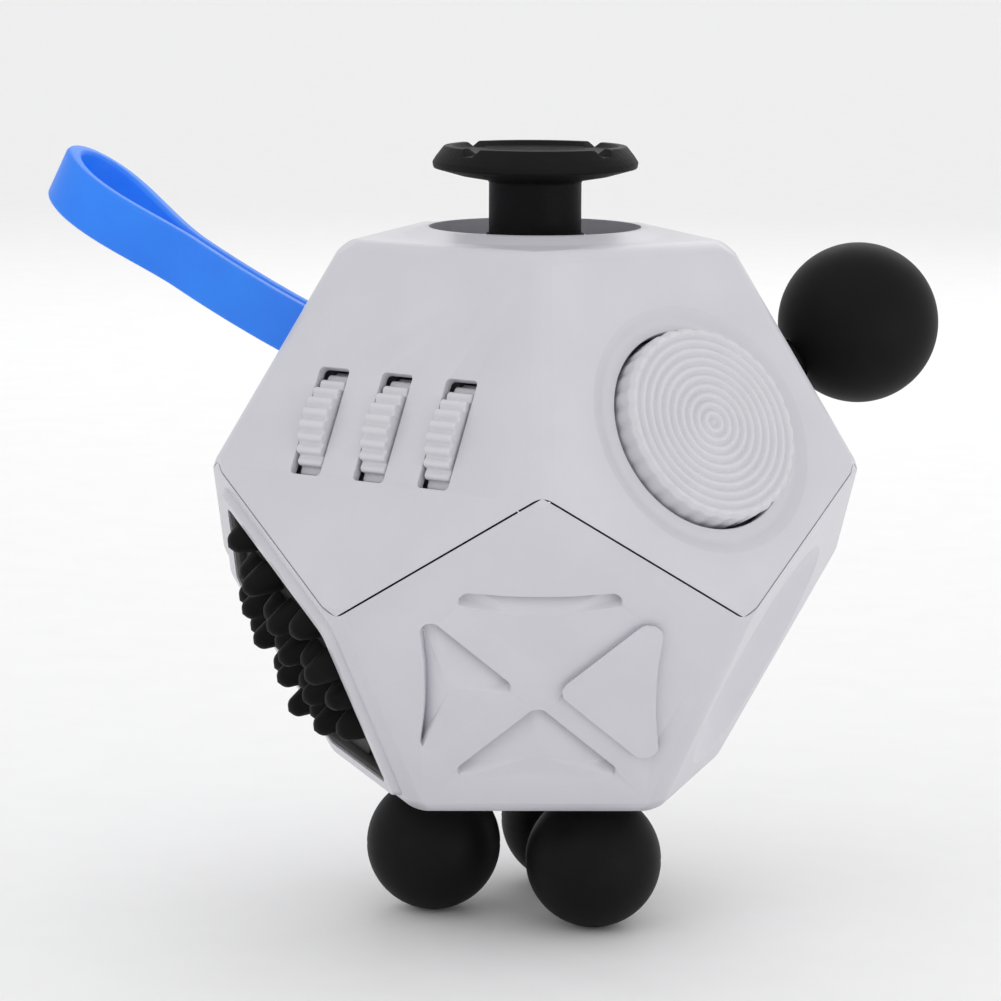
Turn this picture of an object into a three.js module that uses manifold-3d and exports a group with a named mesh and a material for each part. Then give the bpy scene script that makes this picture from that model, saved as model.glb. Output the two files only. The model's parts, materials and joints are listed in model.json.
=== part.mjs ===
// A twelve-sided fidget toy: a hollow dodecahedron shell in two halves, with a
// different thing to do on every face. Millimetres, +Z up, origin at the centre
// of the shell. A face is named by its azimuth in degrees: 0 looks towards -Y,
// and positive angles turn towards +X.
//
//   top            thumb stick in a two-axis gimbal
//   upper  -36     three ridged rollers      lower    0   moulded cross
//   upper  +36     rippled dial              lower  +72   thumb dish
//   upper +108     big ball on a lever       lower +144   five click buttons
//   upper  180     rocker switch             lower -144   slider
//   upper -108     strap loop                lower  -72   spiked pad
//   bottom         three balls on pins

import * as THREE from 'three';
import { mergeVertices } from 'three/addons/utils/BufferGeometryUtils.js';
import Module from 'manifold-3d';

const wasm = await Module();
wasm.setup();

// ---------------------------------------------------------------- dimensions

const GAP = 0.3; // clearance between pieces that touch
const RUNNING = 0.3; // clearance around a turning shaft

const SHELL = {
  sideInradius: 25, // centre to each of the ten side faces
  endInradius: 25.6, // centre to the top and bottom faces
  wall: 2,
  edgeTrim: 0.35, // how far the bevels cut the edges back
  cornerTrim: 0.75,
  crownHeight: 0.7, // low crown of the top face round the stick hole
  crownInner: 10.4,
  crownOuter: 12.6,
  lipHeight: 1.6, // tongue of the lower half inside the upper half
  lipThickness: 1.2,
};

const POST = {
  azimuths: [0, 72, -144],
  distance: 12.3, // centre line to post axis
  radius: 2,
  bottom: -6.2,
  pilotRadius: 1.1,
  pilotDepth: 9,
};

const COLUMN = {
  radius: 2.7,
  headBoreRadius: 1.75,
  headBoreTop: -13.5,
  shankBoreRadius: 1.1,
};

const SCREW = { headRadius: 1.45, headHeight: 1.3, shankRadius: 0.8, length: 13 };

const STICK = {
  pivotHeight: 18.5,
  holeRadius: 10,
  housingRadius: 9.9,
  housingBore: 8.8,
  housingBottom: 12.6,
  housingTop: 23.3,
  ringOuter: 6.7,
  ringInner: 5.5,
  ringHalfHeight: 1.25,
  pinRadius: 0.6,
  hubRadius: 2.8,
  postRadius: 2.2,
  postTop: 29.8,
  domeRadius: 8.5,
  domeWall: 0.8,
  stemRadius: 4.27,
  stemBottom: 23.9,
  stemTop: 30.75,
  capRadius: 9.5,
  capRimRadius: 8.3,
  capWidest: 32.3,
  capTop: 33.8,
  dishDepth: 1.3,
};

const ROLLER = {
  radius: 5.9,
  width: 2.75,
  teeth: 30,
  toothDepth: 0.55,
  offsets: [-7.4, -0.4, 6.6],
  centreY: -1.25,
  depth: 4.65, // axle below the face
  slotWidth: 3.35,
  slotLow: -6.3,
  slotHigh: 3.9,
  axleRadius: 0.8,
};

const DIAL = {
  centre: [1.2, -1.3],
  radius: 9,
  holeRadius: 9.3,
  dishRadius: 11.6,
  dishDepth: 0.4,
  top: 1.9,
  bottom: -1.9,
  rings: 9,
  ringPitch: 0.94,
  ringDepth: 0.3,
  shaftRadius: 2,
  shaftBottom: -6.1,
};

const KNOB = {
  radius: 7.64,
  wall: 1.7,
  height: 11.68, // ball centre above the face
  pivotDepth: 5,
  stemRadius: 1.7,
  collarRadius: 2.3,
  holeRadius: 3.9,
  socketRadius: 6.2,
  socketBore: 5.2,
  ringOuter: 4.3,
  ringInner: 3.3,
  ringHalfHeight: 1.2,
  pinRadius: 0.5,
  hubRadius: 1.9,
};

const STRAP = {
  width: 5,
  thickness: 1.5,
  rootY: 4, // centre line of the strap above the face centre
  legHalfGap: 0.15,
  straight: 15, // the two legs lie together up to here
  widest: 4.2, // half width of the loop at its centre line
  widestAt: 26,
  droop: 0.04, // slope of the strap below the normal at its root
  rise: 0.0038, // upward curl, per millimetre squared
  slotHalfWidth: 2.9,
};

const ROCKER = { width: 8, length: 12.4, pivotDepth: 3.4, pinRadius: 0.7, endRoom: 1 };

const BUTTON = { radius: 2.5, spacing: 5.4, dome: 1.5, travel: 1, centreY: -1 };

const SLIDER = { slotWidth: 4, travel: 4.5, knobLength: 5.2, knobWidth: 3.4, centreY: 1.5 };

const CROSS = { centreY: -1.65, apex: 2.1, reach: 10.6, waist: 10, round: 0.8, depth: 0.7 };

const THUMB_DISH = { radius: 11.5, depth: 2.6, centreY: -1.6, backing: 1.8 };

const PAD = {
  radius: 15.2, // corner radius of the pentagon
  centreY: -0.7,
  frameRadius: 17, // corner radius of the low frame that the shell has round the pad
  frameHeight: 0.7,
  recess: 0.3, // pad surface below the face
  thickness: 1.2,
  spikeRadius: 1.7,
  spikePitch: 4.3,
  spikeShift: 0.7, // the lattice above the pad's centre
  spikeMargin: 2,
  tallSpike: 3.3,
  shortSpike: 2.4,
};

const TRIPOD = {
  azimuths: [-83, 37, 157],
  distance: 9.3,
  ballRadius: 6.3,
  ballWall: 2.6,
  ballHeight: -31.8,
  pinRadius: 1.4,
  bulbRadius: 2.1,
};

// ----------------------------------------------------------------- materials

const plastic = (color, roughness) =>
  new THREE.MeshStandardMaterial({ color, roughness, metalness: 0 });
const metal = (color, roughness) =>
  new THREE.MeshStandardMaterial({ color, roughness, metalness: 1 });

const SHELL_GREY = plastic(0xc8c7cf, 0.35);
const TRIM_GREY = plastic(0xd8d8de, 0.4);
const INNER_GREY = plastic(0x8d9096, 0.55);
const BLACK = plastic(0x1c1d1d, 0.6);
const SOFT_BLACK = plastic(0x161717, 0.75);
const STRAP_BLUE = plastic(0x2d7df5, 0.45);
const STEEL = metal(0xb8bcc2, 0.3);

// ------------------------------------------------------------- shape helpers

// A closed geometry as a solid whose faces point out.
function solid(geometry) {
  const bare = geometry.clone();
  bare.deleteAttribute('normal');
  bare.deleteAttribute('uv');
  const merged = mergeVertices(bare, 1e-4);
  const position = merged.getAttribute('position');
  const index = merged.getIndex().array;
  const corner = (i) => new THREE.Vector3().fromBufferAttribute(position, i);
  const triangles = [];
  let volume = 0;
  for (let i = 0; i < index.length; i += 3) {
    const [a, b, c] = [index[i], index[i + 1], index[i + 2]];
    if (a === b || b === c || c === a) continue;
    triangles.push([a, b, c]);
    volume += corner(a).dot(corner(b).cross(corner(c)));
  }
  if (volume < 0) triangles.forEach((triangle) => triangle.reverse());
  const vertProperties = Float32Array.from(position.array);
  const triVerts = Uint32Array.from(triangles.flat());
  return new wasm.Manifold(new wasm.Mesh({ numProp: 3, vertProperties, triVerts }));
}

function geometryOf(body) {
  const mesh = body.getMesh();
  const geometry = new THREE.BufferGeometry();
  geometry.setAttribute('position', new THREE.BufferAttribute(mesh.vertProperties, 3));
  geometry.setIndex(new THREE.BufferAttribute(mesh.triVerts, 1));
  geometry.computeVertexNormals();
  return geometry;
}

const joinAll = (bodies) => bodies.reduce((whole, body) => whole.add(body));
const cutAll = (body, tools) => tools.reduce((rest, tool) => rest.subtract(tool), body);
const commonAll = (bodies) => bodies.reduce((whole, body) => whole.intersect(body));

// A box from its two corners.
function block(low, high) {
  const size = high.map((value, i) => value - low[i]);
  const middle = high.map((value, i) => (value + low[i]) / 2);
  return new THREE.BoxGeometry(...size).translate(...middle);
}

// A round bar along z.
function rod(radius, bottom, top, segments = 16) {
  const bar = new THREE.CylinderGeometry(radius, radius, top - bottom, segments);
  return bar.rotateX(Math.PI / 2).translate(0, 0, (top + bottom) / 2);
}

const alongX = (geometry) => geometry.rotateY(Math.PI / 2);
const alongY = (geometry) => geometry.rotateX(-Math.PI / 2);

// A turned body about z from [radius, height] points.
function turned(points, segments = 24) {
  const profile = points.map(([radius, height]) => new THREE.Vector2(radius, height));
  return new THREE.LatheGeometry(profile, segments).rotateX(Math.PI / 2);
}

// Points on a circle about the origin, between two angles in degrees from the z axis.
function arc(radius, from, to, steps) {
  const points = [];
  for (let i = 0; i <= steps; i += 1) {
    const angle = THREE.MathUtils.degToRad(from + ((to - from) * i) / steps);
    points.push([Math.max(radius * Math.sin(angle), 0), radius * Math.cos(angle)]);
  }
  return points;
}

const angleAcross = (radius, reach) => THREE.MathUtils.radToDeg(Math.asin(reach / radius));

// A flat shape extruded from one height to another.
function prism(shape, bottom, top, curveSegments = 6) {
  const options = { depth: top - bottom, bevelEnabled: false, curveSegments };
  return new THREE.ExtrudeGeometry(shape, options).translate(0, 0, bottom);
}

// A polygon with every corner replaced by a curve that starts "round" before it.
function roundedPolygon(points, round) {
  const corners = points.map(([x, y]) => new THREE.Vector2(x, y));
  const shape = new THREE.Shape();
  corners.forEach((corner, i) => {
    const before = corners[(i + corners.length - 1) % corners.length];
    const after = corners[(i + 1) % corners.length];
    const start = corner.clone().add(before.clone().sub(corner).setLength(round));
    const end = corner.clone().add(after.clone().sub(corner).setLength(round));
    if (i === 0) shape.moveTo(start.x, start.y);
    else shape.lineTo(start.x, start.y);
    shape.quadraticCurveTo(corner.x, corner.y, end.x, end.y);
  });
  shape.closePath();
  return shape;
}

function rectangle(x, y, width, height, round) {
  const [w, h] = [width / 2, height / 2];
  const corners = [[x - w, y - h], [x + w, y - h], [x + w, y + h], [x - w, y + h]];
  return roundedPolygon(corners, round);
}

// A regular pentagon with one corner pointing up.
function pentagon(radius, centreY, round) {
  const corners = [0, 1, 2, 3, 4].map((i) => {
    const angle = Math.PI / 2 + (i * 2 * Math.PI) / 5;
    return [radius * Math.cos(angle), centreY + radius * Math.sin(angle)];
  });
  return roundedPolygon(corners, round);
}

// ------------------------------------------------------ faces of the polyhedron

const SLOPE = Math.atan(0.5); // a side face's normal above or below level
const UP = 1;
const DOWN = -1;

function sideNormal(azimuth, side) {
  const angle = THREE.MathUtils.degToRad(azimuth);
  const level = Math.cos(SLOPE);
  return new THREE.Vector3(level * Math.sin(angle), -level * Math.cos(angle), side * Math.sin(SLOPE));
}

// Face frame: x runs right along the face, y up it, z out of it; origin on the face.
function faceFrame(azimuth, side) {
  const angle = THREE.MathUtils.degToRad(azimuth);
  const normal = sideNormal(azimuth, side);
  const right = new THREE.Vector3(Math.cos(angle), Math.sin(angle), 0);
  const rise = new THREE.Vector3().crossVectors(normal, right);
  const frame = new THREE.Matrix4().makeBasis(right, rise, normal);
  return frame.setPosition(normal.multiplyScalar(SHELL.sideInradius));
}

const FRAME = {
  rollers: faceFrame(-36, UP),
  dial: faceFrame(36, UP),
  knob: faceFrame(108, UP),
  rocker: faceFrame(180, UP),
  strap: faceFrame(-108, UP),
  cross: faceFrame(0, DOWN),
  thumbDish: faceFrame(72, DOWN),
  buttons: faceFrame(144, DOWN),
  slider: faceFrame(-144, DOWN),
  pad: faceFrame(-72, DOWN),
};

const TOP_FACE = { normal: new THREE.Vector3(0, 0, 1), distance: SHELL.endInradius, side: UP };
const BOTTOM_FACE = { normal: new THREE.Vector3(0, 0, -1), distance: SHELL.endInradius, side: DOWN };
const sideFace = (azimuth, side) =>
  ({ normal: sideNormal(azimuth, side), distance: SHELL.sideInradius, side });
const FACES = [
  TOP_FACE,
  ...[-36, 36, 108, 180, -108].map((azimuth) => sideFace(azimuth, UP)),
  ...[0, 72, 144, -144, -72].map((azimuth) => sideFace(azimuth, DOWN)),
  BOTTOM_FACE,
];
const adjacent = (a, b) => a !== b && a.normal.dot(b.normal) > 0.4;

// Everything on the inner side of a plane.
function halfSpace(normal, distance) {
  const size = 200;
  const turn = new THREE.Quaternion().setFromUnitVectors(new THREE.Vector3(0, 0, 1), normal);
  const half = new THREE.BoxGeometry(size, size, size).translate(0, 0, distance - size / 2);
  return solid(half.applyQuaternion(turn));
}

// The dodecahedron whose faces are moved in by "inset".
function polyhedron(inset) {
  return commonAll(FACES.map((face) => halfSpace(face.normal, face.distance - inset)));
}

// A plane square to the mean direction of some faces that meet, "trim" inside their meeting point.
function bevel(faces, trim) {
  const sum = new THREE.Vector3();
  faces.forEach((face) => sum.add(face.normal));
  const total = faces.reduce((distance, face) => distance + face.distance, 0);
  const length = sum.length();
  return halfSpace(sum.normalize(), total / length - trim);
}

function bevelledPolyhedron() {
  const bevels = [];
  FACES.forEach((a, i) => FACES.slice(i + 1).forEach((b, j) => {
    if (!adjacent(a, b)) return;
    bevels.push(bevel([a, b], SHELL.edgeTrim));
    FACES.slice(i + j + 2).forEach((c) => {
      if (adjacent(a, c) && adjacent(b, c)) bevels.push(bevel([a, b, c], SHELL.cornerTrim));
    });
  }));
  return commonAll([polyhedron(0), ...bevels]);
}

// The part of space that belongs to the upper faces, raised by "rise". Each face
// owns a wedge from the centre outwards, and upper wedges overlap a little.
function upperSpace(rise) {
  const overlap = 1;
  const wedges = FACES.filter((face) => face.side === UP).map((face) => {
    const neighbours = FACES.filter((other) => adjacent(face, other));
    const sides = neighbours.map((other) => {
      const across = other.normal.clone().sub(face.normal).normalize();
      return halfSpace(across, other.side === UP ? overlap : rise * across.z);
    });
    return commonAll(sides);
  });
  return joinAll(wedges);
}

const inFrame = (geometry, frame) => solid(geometry.applyMatrix4(frame));

// ------------------------------------------------------------------ shell parts

const aroundAxis = (azimuth, distance, geometry) => {
  const angle = THREE.MathUtils.degToRad(azimuth);
  return geometry.translate(distance * Math.sin(angle), -distance * Math.cos(angle), 0);
};

function upperShell(outer, cavity) {
  const wall = outer.intersect(upperSpace(GAP / 2)).subtract(cavity);
  const roof = SHELL.endInradius - SHELL.wall / 2;
  const posts = POST.azimuths.map((azimuth) =>
    solid(aroundAxis(azimuth, POST.distance, rod(POST.radius, POST.bottom, roof, 12))));
  const pilots = POST.azimuths.map((azimuth) => {
    const bore = rod(POST.pilotRadius, POST.bottom - 1, POST.bottom + POST.pilotDepth, 8);
    return solid(aroundAxis(azimuth, POST.distance, bore));
  });
  const deep = 2 * SHELL.wall;
  const [dialX, dialY] = DIAL.centre;
  const rockerLength = ROCKER.length + 2 * ROCKER.endRoom;
  const rockerHole = rectangle(0, 0, ROCKER.width + 1, rockerLength, 1);
  const strapHole = rectangle(0, STRAP.rootY, 2 * STRAP.slotHalfWidth, STRAP.width + 1.4, 1);
  const { endInradius, crownHeight, crownInner, crownOuter } = SHELL;
  const crown = solid(turned([
    [0, endInradius - 0.5],
    [crownOuter, endInradius - 0.5],
    [crownOuter, endInradius],
    [crownInner, endInradius + crownHeight],
    [0, endInradius + crownHeight],
  ], 32));
  const openings = [
    solid(rod(STICK.holeRadius, SHELL.endInradius - deep, SHELL.endInradius + 1, 28)),
    ...rollerSlots(),
    inFrame(rod(DIAL.holeRadius, -deep, 1, 28).translate(dialX, dialY, 0), FRAME.dial),
    inFrame(dialDish().translate(dialX, dialY, 0), FRAME.dial),
    inFrame(rod(KNOB.holeRadius, -deep, 1, 20), FRAME.knob),
    inFrame(prism(rockerHole, -deep, 1, 2), FRAME.rocker),
    inFrame(prism(strapHole, -deep, 1, 2), FRAME.strap),
  ];
  return cutAll(joinAll([wall, crown, ...posts]), [...pilots, ...openings]);
}

// A slot per roller, hollowed inside the wall to the round of the roller.
function rollerSlots() {
  const { offsets, slotLow, slotHigh, slotWidth, centreY, depth, radius } = ROLLER;
  return offsets.flatMap((x) => {
    const slot = rectangle(x, (slotHigh + slotLow) / 2, slotWidth, slotHigh - slotLow, 0.4);
    const round = alongX(rod(radius + GAP, x - slotWidth / 2, x + slotWidth / 2, 24));
    return [prism(slot, -2 * SHELL.wall, 1, 2), round.translate(0, centreY, -depth)]
      .map((tool) => inFrame(tool, FRAME.rollers));
  });
}

// The shallow dish around the dial, with a soft rim.
function dialDish() {
  const { dishRadius, dishDepth } = DIAL;
  return turned([
    [0, -dishDepth],
    [dishRadius - 1.6, -dishDepth],
    [dishRadius - 0.6, -dishDepth * 0.6],
    [dishRadius, 0],
    [dishRadius, 1],
    [0, 1],
  ], 28);
}

function lowerShell(outer, cavity) {
  const above = upperSpace(-GAP / 2);
  const wall = outer.subtract(cavity).subtract(above);
  const floor = -SHELL.endInradius;
  const columnTop = POST.bottom - GAP;
  const columns = POST.azimuths.map((azimuth) =>
    solid(aroundAxis(azimuth, POST.distance, rod(COLUMN.radius, floor + 1, columnTop, 12))));
  const bores = POST.azimuths.flatMap((azimuth) => [
    rod(COLUMN.headBoreRadius, floor - 1, COLUMN.headBoreTop, 12),
    rod(COLUMN.shankBoreRadius, COLUMN.headBoreTop - 1, columnTop + 1, 8),
  ].map((bore) => solid(aroundAxis(azimuth, POST.distance, bore))));
  const pins = TRIPOD.azimuths.map((azimuth) => {
    const bore = rod(TRIPOD.pinRadius + GAP, floor - 1, floor + 2 * SHELL.wall, 12);
    return solid(aroundAxis(azimuth, TRIPOD.distance, bore));
  });
  const backings = [padBacking(), thumbDishBacking()].map((backing) =>
    backing.intersect(outer).subtract(above));
  const tongue = cutAll(lip(above), lipNotches());
  const body = joinAll([wall, padFrame(), ...backings, ...columns, tongue]);
  const tools = [...bores, ...pins, padPocket(), thumbDish(), ...crossRecesses(),
    ...buttonHoles(), sliderSlot()];
  return cutAll(body, tools);
}

// The tongue that stands inside the upper half and keeps the halves in line.
function lip(above) {
  const { wall, lipHeight, lipThickness } = SHELL;
  const inner = polyhedron(wall + GAP + lipThickness);
  const tongue = polyhedron(wall + GAP).subtract(inner);
  const band = tongue.subtract(upperSpace(lipHeight)).intersect(upperSpace(-lipHeight));
  const root = polyhedron(wall - 0.2).subtract(inner);
  const foot = root.subtract(above).intersect(upperSpace(-lipHeight));
  return band.add(foot);
}

// Room in the tongue for the pieces under the roller and dial faces.
function lipNotches() {
  const [dialX, dialY] = DIAL.centre;
  const dialRoom = rod(DIAL.radius + 2 + 2 * GAP, -8, -1, 24).translate(dialX, dialY, 0);
  const [left, right] = [Math.min(...ROLLER.offsets) - 4, Math.max(...ROLLER.offsets) + 4];
  const rollerRoom = block([left, -10.5, -8], [right, 8, -1]);
  return [inFrame(dialRoom, FRAME.dial), inFrame(rollerRoom, FRAME.rollers)];
}

// The low frame that stands round the pad.
function padFrame() {
  const { frameRadius, frameHeight, centreY } = PAD;
  return inFrame(prism(pentagon(frameRadius, centreY, 1.5), -0.5, frameHeight, 3), FRAME.pad);
}

function padPocket() {
  const depth = PAD.recess + PAD.thickness + GAP;
  return inFrame(prism(pentagon(PAD.radius, PAD.centreY, 1.2), -depth, 1, 3), FRAME.pad);
}

function padBacking() {
  const bottom = PAD.recess + PAD.thickness + GAP + 1.2;
  return inFrame(prism(pentagon(PAD.radius + 0.8, PAD.centreY, 1.6), -bottom, -0.5, 2), FRAME.pad);
}

// The sphere that a cap of the given rim radius and depth belongs to.
const capSphere = (rim, depth) => (rim * rim + depth * depth) / (2 * depth);

function thumbDish() {
  const { radius, depth, centreY } = THUMB_DISH;
  const sphere = capSphere(radius, depth);
  const points = [[0, -depth]];
  const steps = 4;
  for (let i = 1; i <= steps; i += 1) {
    const reach = (radius * i) / steps;
    points.push([reach, sphere - depth - Math.sqrt(sphere * sphere - reach * reach)]);
  }
  points.push([radius, 1], [0, 1]);
  return inFrame(turned(points, 24).translate(0, centreY, 0), FRAME.thumbDish);
}

function thumbDishBacking() {
  const { radius, depth, centreY, backing } = THUMB_DISH;
  const points = [[0, -depth - backing], [radius * 0.55, -depth - backing], [radius, -1], [0, -1]];
  return inFrame(turned(points, 12).translate(0, centreY, 0), FRAME.thumbDish);
}

// Four recesses between the arms of a cross; the outer sides bow inwards.
function crossRecesses() {
  const { centreY, apex, reach, waist, round, depth } = CROSS;
  const corner = reach - apex;
  const shape = new THREE.Shape();
  shape.moveTo(-round / 2, apex + round / 2);
  shape.quadraticCurveTo(0, apex, round / 2, apex + round / 2);
  shape.lineTo(corner - round, reach - round);
  shape.quadraticCurveTo(corner, reach, corner - 1.4 * round, reach - 0.1 * round);
  shape.quadraticCurveTo(0, 2 * waist - reach, 1.4 * round - corner, reach - 0.1 * round);
  shape.quadraticCurveTo(-corner, reach, round - corner, reach - round);
  shape.closePath();
  return [0, 1, 2, 3].map((quarter) => {
    const recess = prism(shape, -depth, 1, 3);
    recess.rotateZ((quarter * Math.PI) / 2).translate(0, centreY, 0);
    return inFrame(recess, FRAME.cross);
  });
}

// The five places of the buttons, as on a die.
function buttonPlaces() {
  const { spacing, centreY } = BUTTON;
  const corners = [[-1, -1], [1, -1], [0, 0], [-1, 1], [1, 1]];
  return corners.map(([x, y]) => [x * spacing, centreY + y * spacing]);
}

function buttonHoles() {
  return buttonPlaces().map(([x, y]) =>
    inFrame(rod(BUTTON.radius + GAP, -2 * SHELL.wall, 1, 14).translate(x, y, 0), FRAME.buttons));
}

function sliderSlot() {
  const length = 2 * SLIDER.travel + SLIDER.knobLength + 2 * GAP;
  const slot = rectangle(0, SLIDER.centreY, length, SLIDER.slotWidth, 1);
  return inFrame(prism(slot, -2 * SHELL.wall, 1, 3), FRAME.slider);
}

function shellScrew() {
  const { headRadius, headHeight, shankRadius, length } = SCREW;
  const headTop = COLUMN.headBoreTop - GAP;
  return turned([
    [0, headTop - headHeight],
    [headRadius * 0.8, headTop - headHeight],
    [headRadius, headTop - headHeight / 2],
    [headRadius, headTop],
    [shankRadius, headTop],
    [shankRadius, headTop + length - 1],
    [0, headTop + length],
  ], 10);
}

// --------------------------------------------------------------- gimbal pieces

// A ring whose two outer pins lie on x and whose bores for the inner pins lie on y.
function gimbalRing({ ringInner, ringOuter, ringHalfHeight, pinRadius }, pinReach) {
  const ring = solid(turned([
    [ringInner, -ringHalfHeight],
    [ringOuter, -ringHalfHeight],
    [ringOuter, ringHalfHeight],
    [ringInner, ringHalfHeight],
    [ringInner, -ringHalfHeight],
  ], 20));
  const middle = (ringInner + ringOuter) / 2;
  const pins = [rod(pinRadius, middle, pinReach, 8), rod(pinRadius, -pinReach, -middle, 8)];
  const bore = solid(alongY(rod(pinRadius + RUNNING, -pinReach, pinReach, 8)));
  return joinAll([ring, ...pins.map((pin) => solid(alongX(pin)))]).subtract(bore);
}

// The hub that turns inside the ring on two pins along y.
function gimbalHub({ hubRadius, pinRadius, ringInner, ringOuter }) {
  const pin = alongY(rod(pinRadius, -(ringInner + ringOuter) / 2, (ringInner + ringOuter) / 2, 8));
  return solid(new THREE.SphereGeometry(hubRadius, 12, 8)).add(solid(pin));
}

// ------------------------------------------------------------------ thumb stick

function stickHousing() {
  const { housingRadius, housingBore, housingBottom, housingTop, pivotHeight, pinRadius } = STICK;
  const cup = solid(turned([
    [2.2, housingBottom],
    [housingRadius, housingBottom],
    [housingRadius, housingTop],
    [housingBore, housingTop],
    [housingBore, housingBottom + 1.2],
    [2.2, housingBottom + 1.2],
    [2.2, housingBottom],
  ], 24));
  const bore = alongX(rod(pinRadius + RUNNING, -housingRadius - 1, housingRadius + 1, 12));
  return cup.subtract(solid(bore.translate(0, 0, pivotHeight)));
}

function stickCarrier() {
  const { pivotHeight, postRadius, postTop } = STICK;
  const post = solid(rod(postRadius, 0, postTop - pivotHeight, 12));
  const tail = solid(rod(1, -3.9, 0, 8));
  return joinAll([gimbalHub(STICK), post, tail]);
}

// A dome that follows the stick and hides the inside, on a web around the post.
function stickDome() {
  const { domeRadius, domeWall, stemRadius, postRadius } = STICK;
  const inner = domeRadius - domeWall;
  const webTop = 4.3;
  const webBottom = 3.5;
  const webReach = Math.sqrt(inner * inner - webTop * webTop);
  return turned([
    [postRadius + GAP, webBottom],
    [inner * 0.88, webBottom],
    ...arc(domeRadius, 60, angleAcross(domeRadius, stemRadius + GAP), 4),
    ...arc(inner, angleAcross(inner, stemRadius + GAP), angleAcross(inner, webReach), 2),
    [postRadius + GAP, webTop],
    [postRadius + GAP, webBottom],
  ]);
}

function thumbCap() {
  const { postRadius, postTop, stemRadius, stemBottom, stemTop } = STICK;
  const { capRadius, capRimRadius, capWidest, capTop, dishDepth } = STICK;
  const bore = postRadius + GAP;
  const pressRoom = 1.2;
  const dish = [];
  const steps = 4;
  for (let i = 0; i <= steps; i += 1) {
    const reach = 1 - i / steps;
    dish.push([(capRimRadius - 0.6) * reach, capTop - dishDepth * (1 - reach * reach)]);
  }
  const cap = solid(turned([
    [0, postTop + pressRoom],
    [bore, postTop + pressRoom],
    [bore, stemBottom],
    [stemRadius, stemBottom],
    [stemRadius, stemTop - 0.2],
    [stemRadius + 0.3, stemTop],
    [capRadius - 0.15, capWidest - 0.5],
    [capRadius, capWidest - 0.1],
    [capRadius - 0.1, capWidest + 0.4],
    [capRimRadius + 0.25, capTop - 0.25],
    [capRimRadius - 0.15, capTop],
    ...dish,
  ], 28));
  const notches = [1, 3, 5, 7].map((eighth) => {
    const notch = block([capRimRadius - 0.7, -0.7, capTop - 0.5], [capRadius, 0.7, capTop + 1]);
    return solid(notch.rotateZ((eighth * Math.PI) / 4));
  });
  return cutAll(cap, notches);
}

// A flat coil around the tail of the stick.
class Coil extends THREE.Curve {
  constructor(radius, bottom, top, turns) {
    super();
    Object.assign(this, { radius, bottom, top, turns });
  }

  getPoint(t) {
    const angle = 2 * Math.PI * this.turns * t;
    const height = this.bottom + (this.top - this.bottom) * t;
    return new THREE.Vector3(this.radius * Math.cos(angle), this.radius * Math.sin(angle), height);
  }
}

function stickSpring() {
  const wire = new THREE.Shape().absarc(0, 0, 0.25, 0, 2 * Math.PI);
  const extrudePath = new Coil(4.6, 14.4, 16.2, 2);
  return new THREE.ExtrudeGeometry(wire, { steps: 32, curveSegments: 2, extrudePath });
}

// ---------------------------------------------------------------------- rollers

function ridgedRoller() {
  const { radius, toothDepth, teeth, width, axleRadius } = ROLLER;
  const shape = new THREE.Shape();
  shape.moveTo(radius - toothDepth, 0);
  const perTooth = [[0, radius - toothDepth], [0.3, radius], [0.7, radius]];
  for (let tooth = 0; tooth < teeth; tooth += 1) {
    perTooth.forEach(([phase, reach]) => {
      const angle = ((tooth + phase) * 2 * Math.PI) / teeth;
      const point = [reach * Math.cos(angle), reach * Math.sin(angle)];
      shape.lineTo(...point);
    });
  }
  shape.closePath();
  const bore = new THREE.Path().absarc(0, 0, axleRadius + RUNNING, 0, 2 * Math.PI, true);
  shape.holes.push(bore);
  return prism(shape, -width / 2, width / 2, 6);
}

// An open frame under the shell wall, with a window for each roller.
function rollerCarrier() {
  const { radius, offsets, centreY, depth, axleRadius, slotWidth } = ROLLER;
  const left = Math.min(...offsets) - 3;
  const right = Math.max(...offsets) + 3;
  const reach = radius + 0.4;
  const top = -SHELL.wall - GAP;
  const bottom = -depth - 1.95;
  const bar = 1.5;
  const frame = solid(block(
    [left, centreY - reach - bar, bottom],
    [right, centreY + reach + bar, top],
  ));
  const windows = offsets.map((x) => {
    const half = slotWidth / 2 + 0.2;
    return solid(block([x - half, centreY - reach, bottom - 1], [x + half, centreY + reach, top + 1]));
  });
  const bore = alongX(rod(axleRadius + GAP, left - 1, right + 1, 12));
  return cutAll(frame, [...windows, solid(bore.translate(0, centreY, -depth))]);
}

// A comb of spring steel whose three tabs click against the ridges.
function detentComb() {
  const { offsets, centreY, radius, depth } = ROLLER;
  const top = -depth - 1.95 - GAP;
  const bottom = top - 0.3;
  const bar = centreY + radius + 0.7;
  const spine = block([offsets[0] - 1.5, bar, bottom], [offsets[2] + 1.5, bar + 1.2, top]);
  const drop = depth + bottom;
  const flank = centreY + Math.sqrt(radius * radius - drop * drop) + 1.5 * GAP;
  const tabs = offsets.map((x) => solid(block([x - 0.9, flank, bottom], [x + 0.9, bar + 1, top])));
  return joinAll([solid(spine), ...tabs]);
}

// ------------------------------------------------------------------------- dial

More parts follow.
